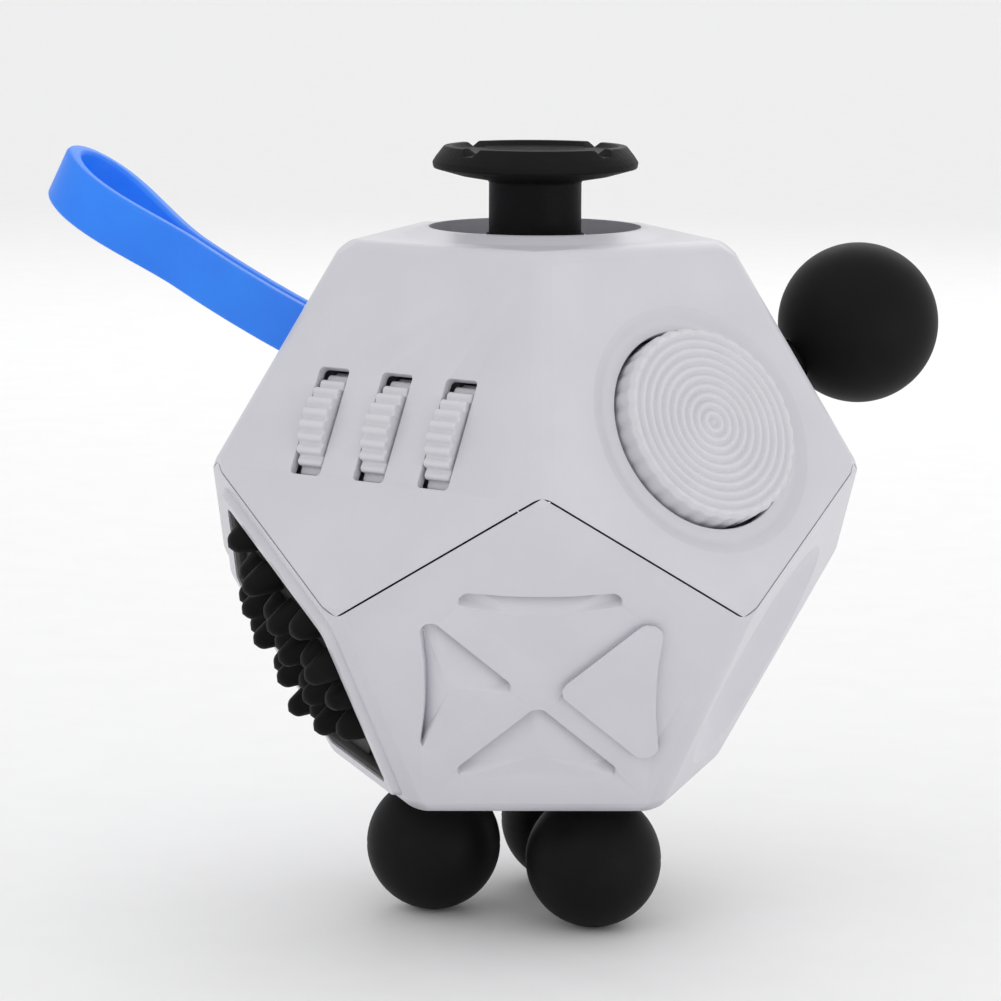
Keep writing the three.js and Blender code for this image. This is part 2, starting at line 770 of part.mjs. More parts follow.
function dialDisc() {
  const { radius, top, bottom, rings, ringPitch, ringDepth, shaftRadius, shaftBottom } = DIAL;
  const ripples = [];
  for (let ring = rings; ring > 0; ring -= 1) {
    ripples.push([(ring - 0.35) * ringPitch, top - ringDepth]);
    ripples.push([(ring - 1) * ringPitch + 0.12, top]);
  }
  ripples[ripples.length - 1][0] = 0;
  return turned([
    [0, shaftBottom + 3.6],
    [0.9, shaftBottom + 3.6],
    [0.9, shaftBottom],
    [shaftRadius, shaftBottom],
    [shaftRadius, bottom],
    [radius - 0.5, bottom],
    [radius, bottom + 0.5],
    [radius, top - 0.8],
    [radius - 0.3, top - 0.2],
    [radius - 0.8, top],
    ...ripples,
  ], 24);
}

function dialBase() {
  const { radius, shaftRadius, shaftBottom } = DIAL;
  const top = -SHELL.wall - GAP;
  const bush = shaftRadius + RUNNING;
  const shelf = -3.4;
  return turned([
    [bush, shaftBottom + 0.3],
    [bush + 1.3, shaftBottom + 0.3],
    [bush + 1.3, shelf - 1.2],
    [radius + 2, shelf - 1.2],
    [radius + 2, top],
    [radius + 0.6, top],
    [radius + 0.6, shelf],
    [bush, shelf],
    [bush, shaftBottom + 0.3],
  ], 20);
}

function dialWasher() {
  const top = DIAL.shaftBottom - GAP;
  const profile = [[0.9, top - 0.5], [3.3, top - 0.5], [3.3, top], [0.9, top], [0.9, top - 0.5]];
  return turned(profile, 14);
}

function dialScrew() {
  const head = DIAL.shaftBottom - 2 * GAP - 0.5;
  return turned([
    [0, head - 1],
    [1.3, head - 1],
    [1.6, head - 0.6],
    [1.6, head],
    [0.6, head],
    [0.6, DIAL.shaftBottom + 3],
    [0, DIAL.shaftBottom + 3.3],
  ], 10);
}

// --------------------------------------------------------------------- big ball

function knobSocket() {
  const { socketRadius, socketBore, pivotDepth, pinRadius } = KNOB;
  const top = -SHELL.wall - GAP;
  const bottom = -pivotDepth - 3.4;
  const cup = solid(turned([
    [0, bottom - 1],
    [socketRadius, bottom - 1],
    [socketRadius, top],
    [socketBore, top],
    [socketBore, bottom],
    [0, bottom],
  ], 20));
  const bore = alongX(rod(pinRadius + RUNNING, -socketRadius - 1, socketRadius + 1, 12));
  return cup.subtract(solid(bore.translate(0, 0, -pivotDepth)));
}

function knobLever() {
  const { height, pivotDepth, stemRadius, collarRadius, radius, wall } = KNOB;
  const foot = height + pivotDepth - radius;
  const bulb = foot + wall + 0.8;
  const post = turned([
    [0, 0],
    [collarRadius, 0],
    [collarRadius, foot - 0.7],
    [stemRadius, foot - 0.4],
    [stemRadius, bulb - 0.4],
    [stemRadius + 0.7, bulb + 0.2],
    [stemRadius + 0.7, bulb + 0.8],
    [stemRadius - 0.4, bulb + 2.2],
    [0, bulb + 2.2],
  ], 14);
  return gimbalHub(KNOB).add(solid(post));
}

// A hollow ball whose neck snaps over the bulb of its pin, with a flat around the mouth.
function hollowBall(radius, wall, neck, mouth, segments) {
  const inner = radius - wall;
  const mouthAngle = THREE.MathUtils.radToDeg(Math.acos(mouth / radius));
  const steps = Math.round(segments / 3);
  return turned([
    ...arc(inner, 180, angleAcross(inner, neck), steps - 2),
    [neck, mouth],
    ...arc(radius, mouthAngle, 180, steps + 1),
  ], segments);
}

function knobBall() {
  const { radius, wall, stemRadius } = KNOB;
  return hollowBall(radius, wall, stemRadius + RUNNING, radius - 0.4, 20).rotateX(Math.PI);
}

// ------------------------------------------------------------------------ strap

// Half width of the loop's centre line at a distance from the face.
function loopHalfWidth(distance) {
  const { legHalfGap, thickness, straight, widest, widestAt } = STRAP;
  const start = legHalfGap + thickness / 2;
  return start + (widest - start) * THREE.MathUtils.smoothstep(distance, straight, widestAt);
}

// One side of the loop's outline, "offset" outside or inside the centre line.
function loopOutline(offset, from) {
  const { widest, widestAt } = STRAP;
  const points = [];
  const steps = 10;
  for (let i = 0; i <= steps; i += 1) {
    const distance = from + ((widestAt - from) * i) / steps;
    points.push([loopHalfWidth(distance) + offset, distance]);
  }
  for (let i = 1; i < steps; i += 1) {
    const angle = (Math.PI * i) / steps;
    const radius = widest + offset;
    points.push([radius * Math.cos(angle), widestAt + radius * Math.sin(angle)]);
  }
  for (let i = steps; i >= 0; i -= 1) {
    const [x, y] = points[i];
    points.push([-x, y]);
  }
  return points;
}

function strapLoop() {
  const { thickness, width, droop, rise, rootY, straight } = STRAP;
  const vector = ([x, y]) => new THREE.Vector2(x, y);
  const outline = new THREE.Shape(loopOutline(thickness / 2, -SHELL.wall + 0.6).map(vector));
  const eye = loopOutline(-thickness / 2, straight + 0.5).map(vector);
  outline.holes.push(new THREE.Path(eye));
  const band = prism(outline, -width / 2, width / 2);
  // The outline was drawn in x and y: y becomes the way out of the face.
  band.rotateX(Math.PI / 2);
  const position = band.getAttribute('position');
  for (let i = 0; i < position.count; i += 1) {
    const out = Math.max(position.getZ(i), 0);
    position.setY(i, position.getY(i) + rootY + (rise * out - droop) * out);
  }
  return band;
}

function strapAnchor() {
  const { rootY, width, slotHalfWidth } = STRAP;
  const top = -SHELL.wall - GAP;
  return prism(rectangle(0, rootY, 2 * slotHalfWidth + 3, width + 4, 1), top - 1.8, top, 2);
}

// ----------------------------------------------------------------- hidden faces

function rockerSwitch() {
  const { width, length, pivotDepth, pinRadius } = ROCKER;
  const half = length / 2;
  const profile = new THREE.Shape();
  profile.moveTo(-half, -0.6);
  profile.lineTo(-half + 0.5, 2.3);
  profile.quadraticCurveTo(-half / 2, 1.1, 0, 0.8);
  profile.quadraticCurveTo(half / 2, 1.1, half - 0.5, 2.3);
  profile.lineTo(half, -0.6);
  profile.lineTo(1.8, -pivotDepth - 1.8);
  profile.lineTo(-1.8, -pivotDepth - 1.8);
  profile.closePath();
  const body = prism(profile, -width / 2, width / 2, 6);
  body.rotateX(Math.PI / 2).rotateZ(Math.PI / 2);
  const bore = alongX(rod(pinRadius + RUNNING, -width, width, 12)).translate(0, 0, -pivotDepth);
  return solid(body).subtract(solid(bore));
}

function rockerHousing() {
  const { width, length, pivotDepth, pinRadius, endRoom } = ROCKER;
  const top = -SHELL.wall - GAP;
  const bottom = -6.5;
  const inside = length + 2 * endRoom;
  const outer = prism(rectangle(0, 0, width + 3.6, inside + 2, 1), bottom, top, 2);
  const inner = prism(rectangle(0, 0, width + 1, inside, 0.8), bottom + 0.7, top + 1, 2);
  const pin = alongX(rod(pinRadius + GAP, -width, width, 12)).translate(0, 0, -pivotDepth);
  return solid(outer).subtract(solid(inner)).subtract(solid(pin));
}

function pushButton() {
  const { radius, dome, travel } = BUTTON;
  const flange = -SHELL.wall - GAP;
  return turned([
    [0, flange - 0.8 - travel / 2],
    [1.1, flange - 0.8 - travel / 2],
    [1.1, flange - 0.8],
    [radius + 0.7, flange - 0.8],
    [radius + 0.7, flange],
    [radius, flange],
    [radius, dome * 0.45],
    [radius * 0.86, dome * 0.78],
    [radius * 0.5, dome * 0.97],
    [0, dome],
  ], 14);
}

function buttonPlate() {
  const { radius, spacing, centreY, travel } = BUTTON;
  const reach = spacing + radius + 1.4;
  const contact = -SHELL.wall - GAP - 0.8 - 1.5 * travel - GAP;
  const board = solid(prism(rectangle(0, centreY, 2 * reach, 2 * reach, 2), contact - 2, contact - 1, 2));
  const domes = buttonPlaces().map(([x, y]) => {
    const dome = turned([[0, contact - 1.5], [2, contact - 1.5], [1.9, contact - 0.7], [0.9, contact],
      [0, contact]], 8);
    return solid(dome.translate(x, y, 0));
  });
  return joinAll([board, ...domes]);
}

function sliderKnob() {
  const { knobLength, knobWidth, centreY } = SLIDER;
  const under = -SHELL.wall - GAP;
  const grip = solid(prism(rectangle(0, centreY, knobLength, knobWidth, 0.8), under - 0.5, 1.9, 3));
  const footShape = rectangle(0, centreY, knobLength + 2, knobWidth + 2.6, 0.6);
  const foot = solid(prism(footShape, under - 1.1, under, 2));
  const grooves = [-1.3, 0, 1.3].map((x) =>
    solid(block([x - 0.25, centreY - knobWidth, 1.4], [x + 0.25, centreY + knobWidth, 3])));
  return cutAll(grip.add(foot), grooves);
}

function sliderTrack() {
  const { knobLength, knobWidth, centreY, travel } = SLIDER;
  const top = -SHELL.wall - GAP;
  const footHalf = knobWidth / 2 + 1.3 + GAP;
  const reach = knobLength / 2 + 1 + travel + GAP;
  const outer = rectangle(0, centreY, 2 * reach + 2.4, 2 * footHalf + 2.4, 1);
  const inner = rectangle(0, centreY, 2 * reach, 2 * footHalf, 0.5);
  const tray = solid(prism(outer, top - 2.4, top, 2));
  return tray.subtract(solid(prism(inner, top - 1.4, top + 1, 2)));
}

// ------------------------------------------------------------------- spiked pad

function spike(height) {
  const base = PAD.spikeRadius;
  return turned([
    [0, -0.6],
    [base, -0.6],
    [base, 0],
    [base * 0.62, height * 0.45],
    [base * 0.32, height * 0.9],
    [0, height],
  ], 6);
}

// Spikes stand in a triangular lattice, tall and short by turns, inside the pentagon.
function spikedPad() {
  const { radius, centreY, recess, thickness } = PAD;
  const { spikePitch, spikeShift, spikeMargin, tallSpike, shortSpike } = PAD;
  const outline = pentagon(radius - GAP / Math.cos(Math.PI / 5), centreY, 1.2);
  const plate = prism(outline, -recess - thickness, -recess, 3);
  const apothem = radius * Math.cos(Math.PI / 5) - spikeMargin;
  const inside = (x, y) => [0, 1, 2, 3, 4].every((i) => {
    const angle = -Math.PI / 2 + (i * 2 * Math.PI) / 5;
    return x * Math.cos(angle) + y * Math.sin(angle) <= apothem;
  });
  const spikes = [];
  for (let row = -3; row <= 3; row += 1) {
    for (let column = -3; column <= 3; column += 1) {
      const x = (column + (row % 2 === 0 ? 0.5 : 0)) * spikePitch;
      const y = row * spikePitch * Math.sin(Math.PI / 3) + spikeShift;
      if (!inside(x, y)) continue;
      const height = (row + column) % 2 === 0 ? tallSpike : shortSpike;
      spikes.push(solid(spike(height).translate(x, centreY + y, -recess)));
    }
  }
  return joinAll([solid(plate), ...spikes]);
}

// ----------------------------------------------------------------- bottom balls

function pinPlate() {
  const { azimuths, distance, pinRadius, bulbRadius, ballHeight } = TRIPOD;
  const top = -SHELL.endInradius + SHELL.wall + GAP;
  const plate = solid(rod(6.2, top, top + 1.4, 16));
  const arms = azimuths.flatMap((azimuth) => {
    const boss = rod(2.4, top, top + 1.4, 12).translate(0, -distance, 0);
    const web = block([-1.8, -distance, top], [1.8, 0, top + 1.4]);
    const pin = turned([
      [0, ballHeight - 1.5],
      [bulbRadius * 0.7, ballHeight - 1.3],
      [bulbRadius, ballHeight - 0.4],
      [bulbRadius, ballHeight + 0.3],
      [pinRadius, ballHeight + 1.4],
      [pinRadius, top + 1],
      [0, top + 1],
    ], 12).translate(0, -distance, 0);
    const turn = THREE.MathUtils.degToRad(azimuth);
    return [boss, web, pin].map((geometry) => solid(geometry.rotateZ(turn)));
  });
  return joinAll([plate, ...arms]);
}

function bottomBall() {
  const { ballRadius, ballWall, ballHeight, pinRadius } = TRIPOD;
  const mouth = -SHELL.endInradius - 0.35 - ballHeight;
  return hollowBall(ballRadius, ballWall, pinRadius + RUNNING, mouth, 18);
}

// --------------------------------------------------------------------- assembly

const toy = new THREE.Group();

function piece(name, shape, material, parent = toy) {
  const body = shape instanceof THREE.BufferGeometry ? solid(shape) : shape;
  const mesh = new THREE.Mesh(geometryOf(body), material);
  mesh.name = name;
  parent.add(mesh);
  return mesh;
}

function moduleAt(frame) {
  const group = new THREE.Group();
  group.applyMatrix4(frame);
  toy.add(group);
  return group;
}

function addShell() {
  const outer = bevelledPolyhedron();
  const cavity = polyhedron(SHELL.wall);
  piece('upper_shell', upperShell(outer, cavity), SHELL_GREY);
  piece('lower_shell', lowerShell(outer, cavity), SHELL_GREY);
  POST.azimuths.forEach((azimuth, i) => {
    const screw = aroundAxis(azimuth, POST.distance, shellScrew());
    piece(`shell_screw_${i + 1}`, screw, STEEL);
  });
}

function addThumbStick() {
  const pivot = new THREE.Group();
  pivot.position.z = STICK.pivotHeight;
  toy.add(pivot);
  piece('joystick_housing', stickHousing(), INNER_GREY);
  piece('gimbal_ring', gimbalRing(STICK, STICK.housingRadius - 0.3), STEEL, pivot);
  piece('stick_carrier', stickCarrier(), INNER_GREY, pivot);
  piece('joystick_dome', stickDome(), TRIM_GREY, pivot);
  piece('thumb_cap', thumbCap(), BLACK);
  piece('return_spring', stickSpring(), STEEL);
}

function addRollers() {
  const { offsets, centreY, depth, axleRadius } = ROLLER;
  const group = moduleAt(FRAME.rollers);
  piece('roller_carrier', rollerCarrier(), INNER_GREY, group);
  const axle = piece('roller_axle', rod(axleRadius, offsets[0] - 2.8, offsets[2] + 2.8, 12), STEEL, group);
  axle.rotation.y = Math.PI / 2;
  axle.position.set(0, centreY, -depth);
  offsets.forEach((x, i) => {
    const roller = piece(`roller_${i + 1}`, ridgedRoller(), TRIM_GREY, group);
    roller.rotation.y = Math.PI / 2;
    roller.position.set(x, centreY, -depth);
  });
  piece('detent_comb', detentComb(), STEEL, group);
}

function addDial() {
  const group = moduleAt(FRAME.dial);
  const pieces = [
    piece('dial_disc', dialDisc(), TRIM_GREY, group),
    piece('dial_base', dialBase(), INNER_GREY, group),
    piece('dial_washer', dialWasher(), STEEL, group),
    piece('dial_screw', dialScrew(), STEEL, group),
  ];
  pieces.forEach((mesh) => mesh.position.set(...DIAL.centre, 0));
}

function addKnob() {
  const group = moduleAt(FRAME.knob);
  piece('knob_socket', knobSocket(), INNER_GREY, group);
  const ring = piece('knob_gimbal', gimbalRing(KNOB, KNOB.socketRadius - 0.3), STEEL, group);
  const lever = piece('knob_lever', knobLever(), BLACK, group);
  const knob = piece('ball_knob', knobBall(), SOFT_BLACK, group);
  ring.position.z = -KNOB.pivotDepth;
  lever.position.z = -KNOB.pivotDepth;
  knob.position.z = KNOB.height;
}

function addStrap() {
  const group = moduleAt(FRAME.strap);
  piece('strap_anchor', strapAnchor(), STRAP_BLUE, group);
  piece('strap_loop', strapLoop(), STRAP_BLUE, group);
}

function addRocker() {
  const { width, pinRadius, pivotDepth } = ROCKER;
  const group = moduleAt(FRAME.rocker);
  piece('switch_housing', rockerHousing(), INNER_GREY, group);
  piece('rocker_switch', rockerSwitch(), BLACK, group);
  const pin = piece('rocker_pin', rod(pinRadius, -width / 2 - 1.5, width / 2 + 1.5, 12), STEEL, group);
  pin.rotation.y = Math.PI / 2;
  pin.position.z = -pivotDepth;
}

function addButtons() {
  const group = moduleAt(FRAME.buttons);
  piece('button_plate', buttonPlate(), INNER_GREY, group);
  buttonPlaces().forEach(([x, y], i) => {
    piece(`button_${i + 1}`, pushButton(), TRIM_GREY, group).position.set(x, y, 0);
  });
}

function addSlider() {
  const group = moduleAt(FRAME.slider);
  piece('slider_track', sliderTrack(), INNER_GREY, group);
  piece('slider_knob', sliderKnob(), BLACK, group);
}

function addTripod() {
  piece('ball_pin_plate', pinPlate(), INNER_GREY);
  TRIPOD.azimuths.forEach((azimuth, i) => {
    const ball = piece(`bottom_ball_${i + 1}`, bottomBall(), SOFT_BLACK);
    const angle = THREE.MathUtils.degToRad(azimuth);
    const { distance, ballHeight } = TRIPOD;
    ball.position.set(distance * Math.sin(angle), -distance * Math.cos(angle), ballHeight);
  });
}

addShell();
addThumbStick();
addRollers();
addDial();
addKnob();
addStrap();
addRocker();
addButtons();
addSlider();
piece('spiked_pad', spikedPad(), SOFT_BLACK, moduleAt(FRAME.pad));
addTripod();

export default toy;
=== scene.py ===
import json
from itertools import combinations
from math import acos, asin, atan, cos, degrees, pi, radians, sin, sqrt, tan

import bmesh
import bpy
from mathutils import Matrix, Vector


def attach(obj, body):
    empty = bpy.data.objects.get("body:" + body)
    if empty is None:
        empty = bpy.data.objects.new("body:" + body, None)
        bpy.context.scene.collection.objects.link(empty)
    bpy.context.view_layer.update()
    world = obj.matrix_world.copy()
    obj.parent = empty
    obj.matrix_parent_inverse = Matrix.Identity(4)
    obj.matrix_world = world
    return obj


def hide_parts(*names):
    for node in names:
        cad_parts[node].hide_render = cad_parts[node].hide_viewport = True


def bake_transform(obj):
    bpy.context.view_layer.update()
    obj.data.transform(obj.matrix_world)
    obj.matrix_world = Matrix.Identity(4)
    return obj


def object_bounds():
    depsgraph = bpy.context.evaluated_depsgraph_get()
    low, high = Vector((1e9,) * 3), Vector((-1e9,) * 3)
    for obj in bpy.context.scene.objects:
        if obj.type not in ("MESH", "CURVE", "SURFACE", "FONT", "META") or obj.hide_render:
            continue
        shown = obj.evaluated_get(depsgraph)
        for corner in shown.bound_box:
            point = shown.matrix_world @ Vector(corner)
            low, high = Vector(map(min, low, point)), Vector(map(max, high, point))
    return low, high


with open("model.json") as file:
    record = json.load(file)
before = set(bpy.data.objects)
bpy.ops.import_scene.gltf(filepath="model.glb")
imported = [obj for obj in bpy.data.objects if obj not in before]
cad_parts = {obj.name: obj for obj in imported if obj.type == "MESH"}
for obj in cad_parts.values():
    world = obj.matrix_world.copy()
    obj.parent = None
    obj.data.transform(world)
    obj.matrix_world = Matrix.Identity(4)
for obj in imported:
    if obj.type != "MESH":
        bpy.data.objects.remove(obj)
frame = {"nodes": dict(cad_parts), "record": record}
cad_low, cad_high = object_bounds()

# A twelve-sided fidget toy. Shapes are drawn in millimetres and scaled once, in to_object().
# A side face has its own frame: x runs right along it, y up it and z out of it.
# A face is named by its azimuth, 0 looking towards -Y, and by the ring it is in.

MM = 0.001
UPPER, LOWER = 1, -1
SLOPE = atan(0.5)  # a side face's normal above or below level

SIDE_INRADIUS = 25.0
END_INRADIUS = 25.6
WALL = 2.0
SEAM = 0.2
GAP = 0.3  # between a moving piece and what is round it
EDGE_ROUND = 1.25  # how far the rounding of an edge reaches over each face
HOLE_EDGE = 0.18
CUT_LOW, CUT_HIGH = -4, 1  # a cutter reaches from here to here, measured from its face
CUT = [(0, CUT_LOW), (0, CUT_HIGH)]
CORNER_REACH = 30.85  # the corners are rounded off to this distance from the centre


# ------------------------------------------------------------------ materials

def new_material(name):
    """A material with its node tree, its shader and the coordinates of its object."""
    material = bpy.data.materials.new(name)
    material.use_nodes = True
    tree = material.node_tree
    shader = tree.nodes["Principled BSDF"]
    place = tree.nodes.new("ShaderNodeTexCoord")
    return material, tree, shader, place.outputs["Object"]


def noise(tree, place, scale, detail, roughness=0.55):
    """Smooth noise from 0 to 1."""
    node = tree.nodes.new("ShaderNodeTexNoise")
    node.inputs["Scale"].default_value = scale
    node.inputs["Detail"].default_value = detail
    node.inputs["Roughness"].default_value = roughness
    tree.links.new(place, node.inputs["Vector"])
    return node.outputs["Fac"]


def spread(tree, value, low, high, start=0.3, end=0.7):
    """Maps the middle of a noise's range onto the range from low to high."""
    node = tree.nodes.new("ShaderNodeMapRange")
    tree.links.new(value, node.inputs["Value"])
    limits = {"From Min": start, "From Max": end, "To Min": low, "To Max": high}
    for socket, number in limits.items():
        node.inputs[socket].default_value = number
    return node.outputs["Result"]


def between(tree, value, dark, light):
    """A colour between two, by a noise."""
    node = tree.nodes.new("ShaderNodeValToRGB")
    tree.links.new(value, node.inputs["Fac"])
    node.color_ramp.elements[0].position = 0.3
    node.color_ramp.elements[1].position = 0.7
    node.color_ramp.elements[0].color = (*dark, 1)
    node.color_ramp.elements[1].color = (*light, 1)
    return node.outputs["Color"]


def bump(tree, height, strength, distance, normal=None):
    """A normal from a height, on top of another normal if there is one."""
    node = tree.nodes.new("ShaderNodeBump")
    node.inputs["Strength"].default_value = strength
    node.inputs["Distance"].default_value = distance
    tree.links.new(height, node.inputs["Height"])
    if normal:
        tree.links.new(normal, node.inputs["Normal"])
    return node.outputs["Normal"]


def moulded(name, dark, light, rough, grain, grain_depth, wave=160, wave_depth=2e-5, **extra):
    """Moulded plastic or rubber: slightly mottled, finely grained, with a faint wave."""
    material, tree, shader, place = new_material(name)
    mottle = noise(tree, place, 130, 4)
    fine = noise(tree, place, grain, 2)
    swell = noise(tree, place, wave, 1)
    tree.links.new(between(tree, mottle, dark, light), shader.inputs["Base Color"])
    tree.links.new(spread(tree, mottle, *rough), shader.inputs["Roughness"])
    soft = bump(tree, swell, 0.25, wave_depth)
    tree.links.new(bump(tree, fine, 0.6, grain_depth, soft), shader.inputs["Normal"])
    for socket, value in extra.items():
        shader.inputs[socket.replace("_", " ")].default_value = value
    return material


SHELL_GREY = moulded("shell_grey", (0.575, 0.57, 0.615), (0.605, 0.60, 0.645),
                     (0.30, 0.38), 5200, 6e-6)
TRIM_GREY = moulded("trim_grey", (0.60, 0.595, 0.63), (0.64, 0.635, 0.67),
                    (0.36, 0.46), 5200, 8e-6)
INNER_GREY = moulded("inner_grey", (0.16, 0.16, 0.17), (0.20, 0.20, 0.21),
                     (0.5, 0.62), 3000, 1.5e-5)
BLACK_PLASTIC = moulded("black_plastic", (0.006, 0.006, 0.0065), (0.010, 0.010, 0.0105),
                        (0.42, 0.52), 3400, 1.6e-5, Specular_IOR_Level=0.16)
GRAINED_BLACK = moulded("grained_black", (0.006, 0.006, 0.0065), (0.010, 0.010, 0.0105),
                        (0.46, 0.58), 2400, 7e-5, Specular_IOR_Level=0.08)
BLACK_RUBBER = moulded("black_rubber", (0.005, 0.005, 0.0052), (0.008, 0.008, 0.0083),
                       (0.45, 0.56), 6000, 1.2e-5, Specular_IOR_Level=0.08)
BLUE_SILICONE = moulded("blue_silicone", (0.010, 0.20, 0.90), (0.014, 0.24, 0.96),
                        (0.40, 0.50), 4200, 8e-6, Subsurface_Weight=0.25,
                        Subsurface_Scale=0.002)
STEEL = moulded("steel", (0.44, 0.45, 0.48), (0.52, 0.53, 0.55),
                (0.28, 0.42), 7000, 5e-6, Metallic=1.0)


# -------------------------------------------------------------- shape helpers

def face_frame(azimuth, ring):
    """The frame of a side face, with its origin on the face."""
    turn = radians(azimuth)
    out = Vector((cos(SLOPE) * sin(turn), -cos(SLOPE) * cos(turn), ring * sin(SLOPE)))
    right = Vector((cos(turn), sin(turn), 0))
    place = Matrix((right, out.cross(right), out)).transposed().to_4x4()
    place.translation = out * SIDE_INRADIUS
    return place


ROLLERS_AT = face_frame(-36, UPPER)
DIAL_AT = face_frame(36, UPPER)
KNOB_AT = face_frame(108, UPPER)
ROCKER_AT = face_frame(180, UPPER)
STRAP_AT = face_frame(-108, UPPER)
CROSS_AT = face_frame(0, LOWER)
THUMB_AT = face_frame(72, LOWER)
BUTTONS_AT = face_frame(144, LOWER)
SLIDER_AT = face_frame(-144, LOWER)
PAD_AT = face_frame(-72, LOWER)
LEVEL = Matrix.Identity(4)


def shift(x, y, z=0.0):
    """A move in millimetres."""
    return Matrix.Translation((x, y, z))


def rounded(points, closed=False, steps=5):
    """The polyline with each corner given as (x, y, radius) turned into an arc."""
    line = []
    for index, point in enumerate(points):
        here = Vector(point[:2])
        inside = closed or 0 < index < len(points) - 1
        if len(point) == 2 or not inside:
            line.append(tuple(here))
            continue
        before = Vector(points[index - 1][:2]) - here
        after = Vector(points[(index + 1) % len(points)][:2]) - here
        half = before.angle(after) / 2
        reach = min(point[2] / tan(half), 0.49 * before.length, 0.49 * after.length)
        radius = reach * tan(half)
        before.normalize()
        after.normalize()
        centre = here + (before + after).normalized() * (radius / sin(half))
        first = here + before * reach - centre
        last = here + after * reach - centre
        for step in range(steps + 1):
            spoke = first.lerp(last, step / steps).normalized() * radius
            line.append(tuple(centre + spoke))
    return line


def skin(mesh, before, after):
    """Faces between two rings of vertices; a ring of one vertex is a pole."""
    count = max(len(before), len(after))
    for index in range(count):
        follow = (index + 1) % count
        corners = [before[index % len(before)], before[follow % len(before)],
                   after[follow % len(after)], after[index % len(after)]]
        corners = list(dict.fromkeys(corners))
        if len(corners) > 2:
            mesh.faces.new(corners)


def lathe(profile, steps=96, closed=False, wave=None):
    """A solid turned about z from (radius, height) points; wave changes a radius by its angle."""
    mesh = bmesh.new()
    rings = []
    for radius, height in profile:
        if radius < 1e-6:
            rings.append([mesh.verts.new((0, 0, height))])
            continue
        ring = []
        for step in range(steps):
            turn = 2 * pi * step / steps
            reach = radius + (wave(turn, radius, height) if wave else 0)
            ring.append(mesh.verts.new((reach * cos(turn), reach * sin(turn), height)))
        rings.append(ring)
    for before, after in zip(rings, rings[1:]):
        skin(mesh, before, after)
    if closed:
        skin(mesh, rings[-1], rings[0])
    return mesh


def hole(radius, steps, low=CUT_LOW, high=CUT_HIGH):
    """A cutter for a round hole."""
    return lathe([(0, low), (radius, low), (radius, high), (0, high)], steps)


def inset(outline, distance):
    """The closed outline, drawn anticlockwise, moved in by a distance."""
    moved = []
    for index, point in enumerate(outline):
        before = Vector(outline[index - 1])
        after = Vector(outline[(index + 1) % len(outline)])
        along = (after - before).normalized()
        moved.append((point[0] - along.y * distance, point[1] + along.x * distance))
    return moved


def prism(outline, layers):
    """A solid over a closed outline; a layer is (how far it is moved in, height)."""
    mesh = bmesh.new()
    rings = [[mesh.verts.new((x, y, height)) for x, y in inset(outline, distance)]
             for distance, height in layers]
    for before, after in zip(rings, rings[1:]):
        skin(mesh, before, after)
    mesh.faces.new(rings[0][::-1])
    mesh.faces.new(rings[-1])
    return mesh


def rectangle(x, y, width, height, radius, steps=6):
    """A rectangle about a middle point, with rounded corners."""
    corners = [(x - width / 2, y - height / 2, radius), (x + width / 2, y - height / 2, radius),
               (x + width / 2, y + height / 2, radius), (x - width / 2, y + height / 2, radius)]
    return rounded(corners, True, steps)


def pentagon(radius, centre_y, corner, steps=6):
    """A regular pentagon with one corner pointing up."""
    turns = [radians(90 + 72 * index) for index in range(5)]
    points = [(radius * cos(turn), centre_y + radius * sin(turn), corner) for turn in turns]
    return rounded(points, True, steps)


def arc(radius, start, end, steps):
    """(radius, height) points on a circle, by angles in degrees from the z axis."""
    turns = [radians(start + (end - start) * step / steps) for step in range(steps + 1)]
    return [(radius * sin(turn), radius * cos(turn)) for turn in turns]


def rim_fillet(layers_low, high, radius, steps=4):
    """Layers of a prism whose top edge is rounded."""
    turns = [pi / 2 * step / steps for step in range(steps + 1)]
    curve = [(radius * (1 - cos(turn)), high - radius * (1 - sin(turn))) for turn in turns]
    return layers_low + curve


def joined(meshes):
    """Several (mesh, place) pairs as one mesh."""
    whole = bmesh.new()
    for mesh, place in meshes:
        mesh.transform(place)
        bmesh.ops.recalc_face_normals(mesh, faces=mesh.faces)
        scratch = bpy.data.meshes.new("scratch")
        mesh.to_mesh(scratch)
        mesh.free()
        whole.from_mesh(scratch)
        bpy.data.meshes.remove(scratch)
    return whole


def to_object(name, mesh, place=LEVEL):
    """Makes a mesh, drawn in millimetres, an object of the scene."""
    data = bpy.data.meshes.new(name)
    bmesh.ops.recalc_face_normals(mesh, faces=mesh.faces)
    mesh.transform(Matrix.Scale(MM, 4) @ place)
    mesh.to_mesh(data)
    mesh.free()
    thing = bpy.data.objects.new(name, data)
    bpy.context.scene.collection.objects.link(thing)
    return thing


def carve(thing, mesh, operation="DIFFERENCE"):
    """Cuts a mesh from an object, or adds it, for good."""
    tool = to_object("tool", mesh)
    step = thing.modifiers.new("carve", "BOOLEAN")
    step.object = tool
    step.operation = operation
    step.solver = "EXACT"
    bake(thing)
    data = tool.data
    bpy.data.objects.remove(tool)
    bpy.data.meshes.remove(data)


def bake(thing):
    """Replaces an object's mesh by what its modifiers make of it."""
    graph = bpy.context.evaluated_depsgraph_get()
    data = bpy.data.meshes.new_from_object(thing.evaluated_get(graph))
    old = thing.data
    thing.modifiers.clear()
    thing.data = data
    bpy.data.meshes.remove(old)


def soften(thing, width, segments=2, angle=35):
    """A small rounding on every edge sharper than an angle."""
    step = thing.modifiers.new("soften", "BEVEL")
    step.width = width * MM
    step.segments = segments
    step.limit_method = "ANGLE"
    step.angle_limit = radians(angle)
    step.miter_outer = "MITER_ARC"
    step.use_clamp_overlap = True
    bake(thing)


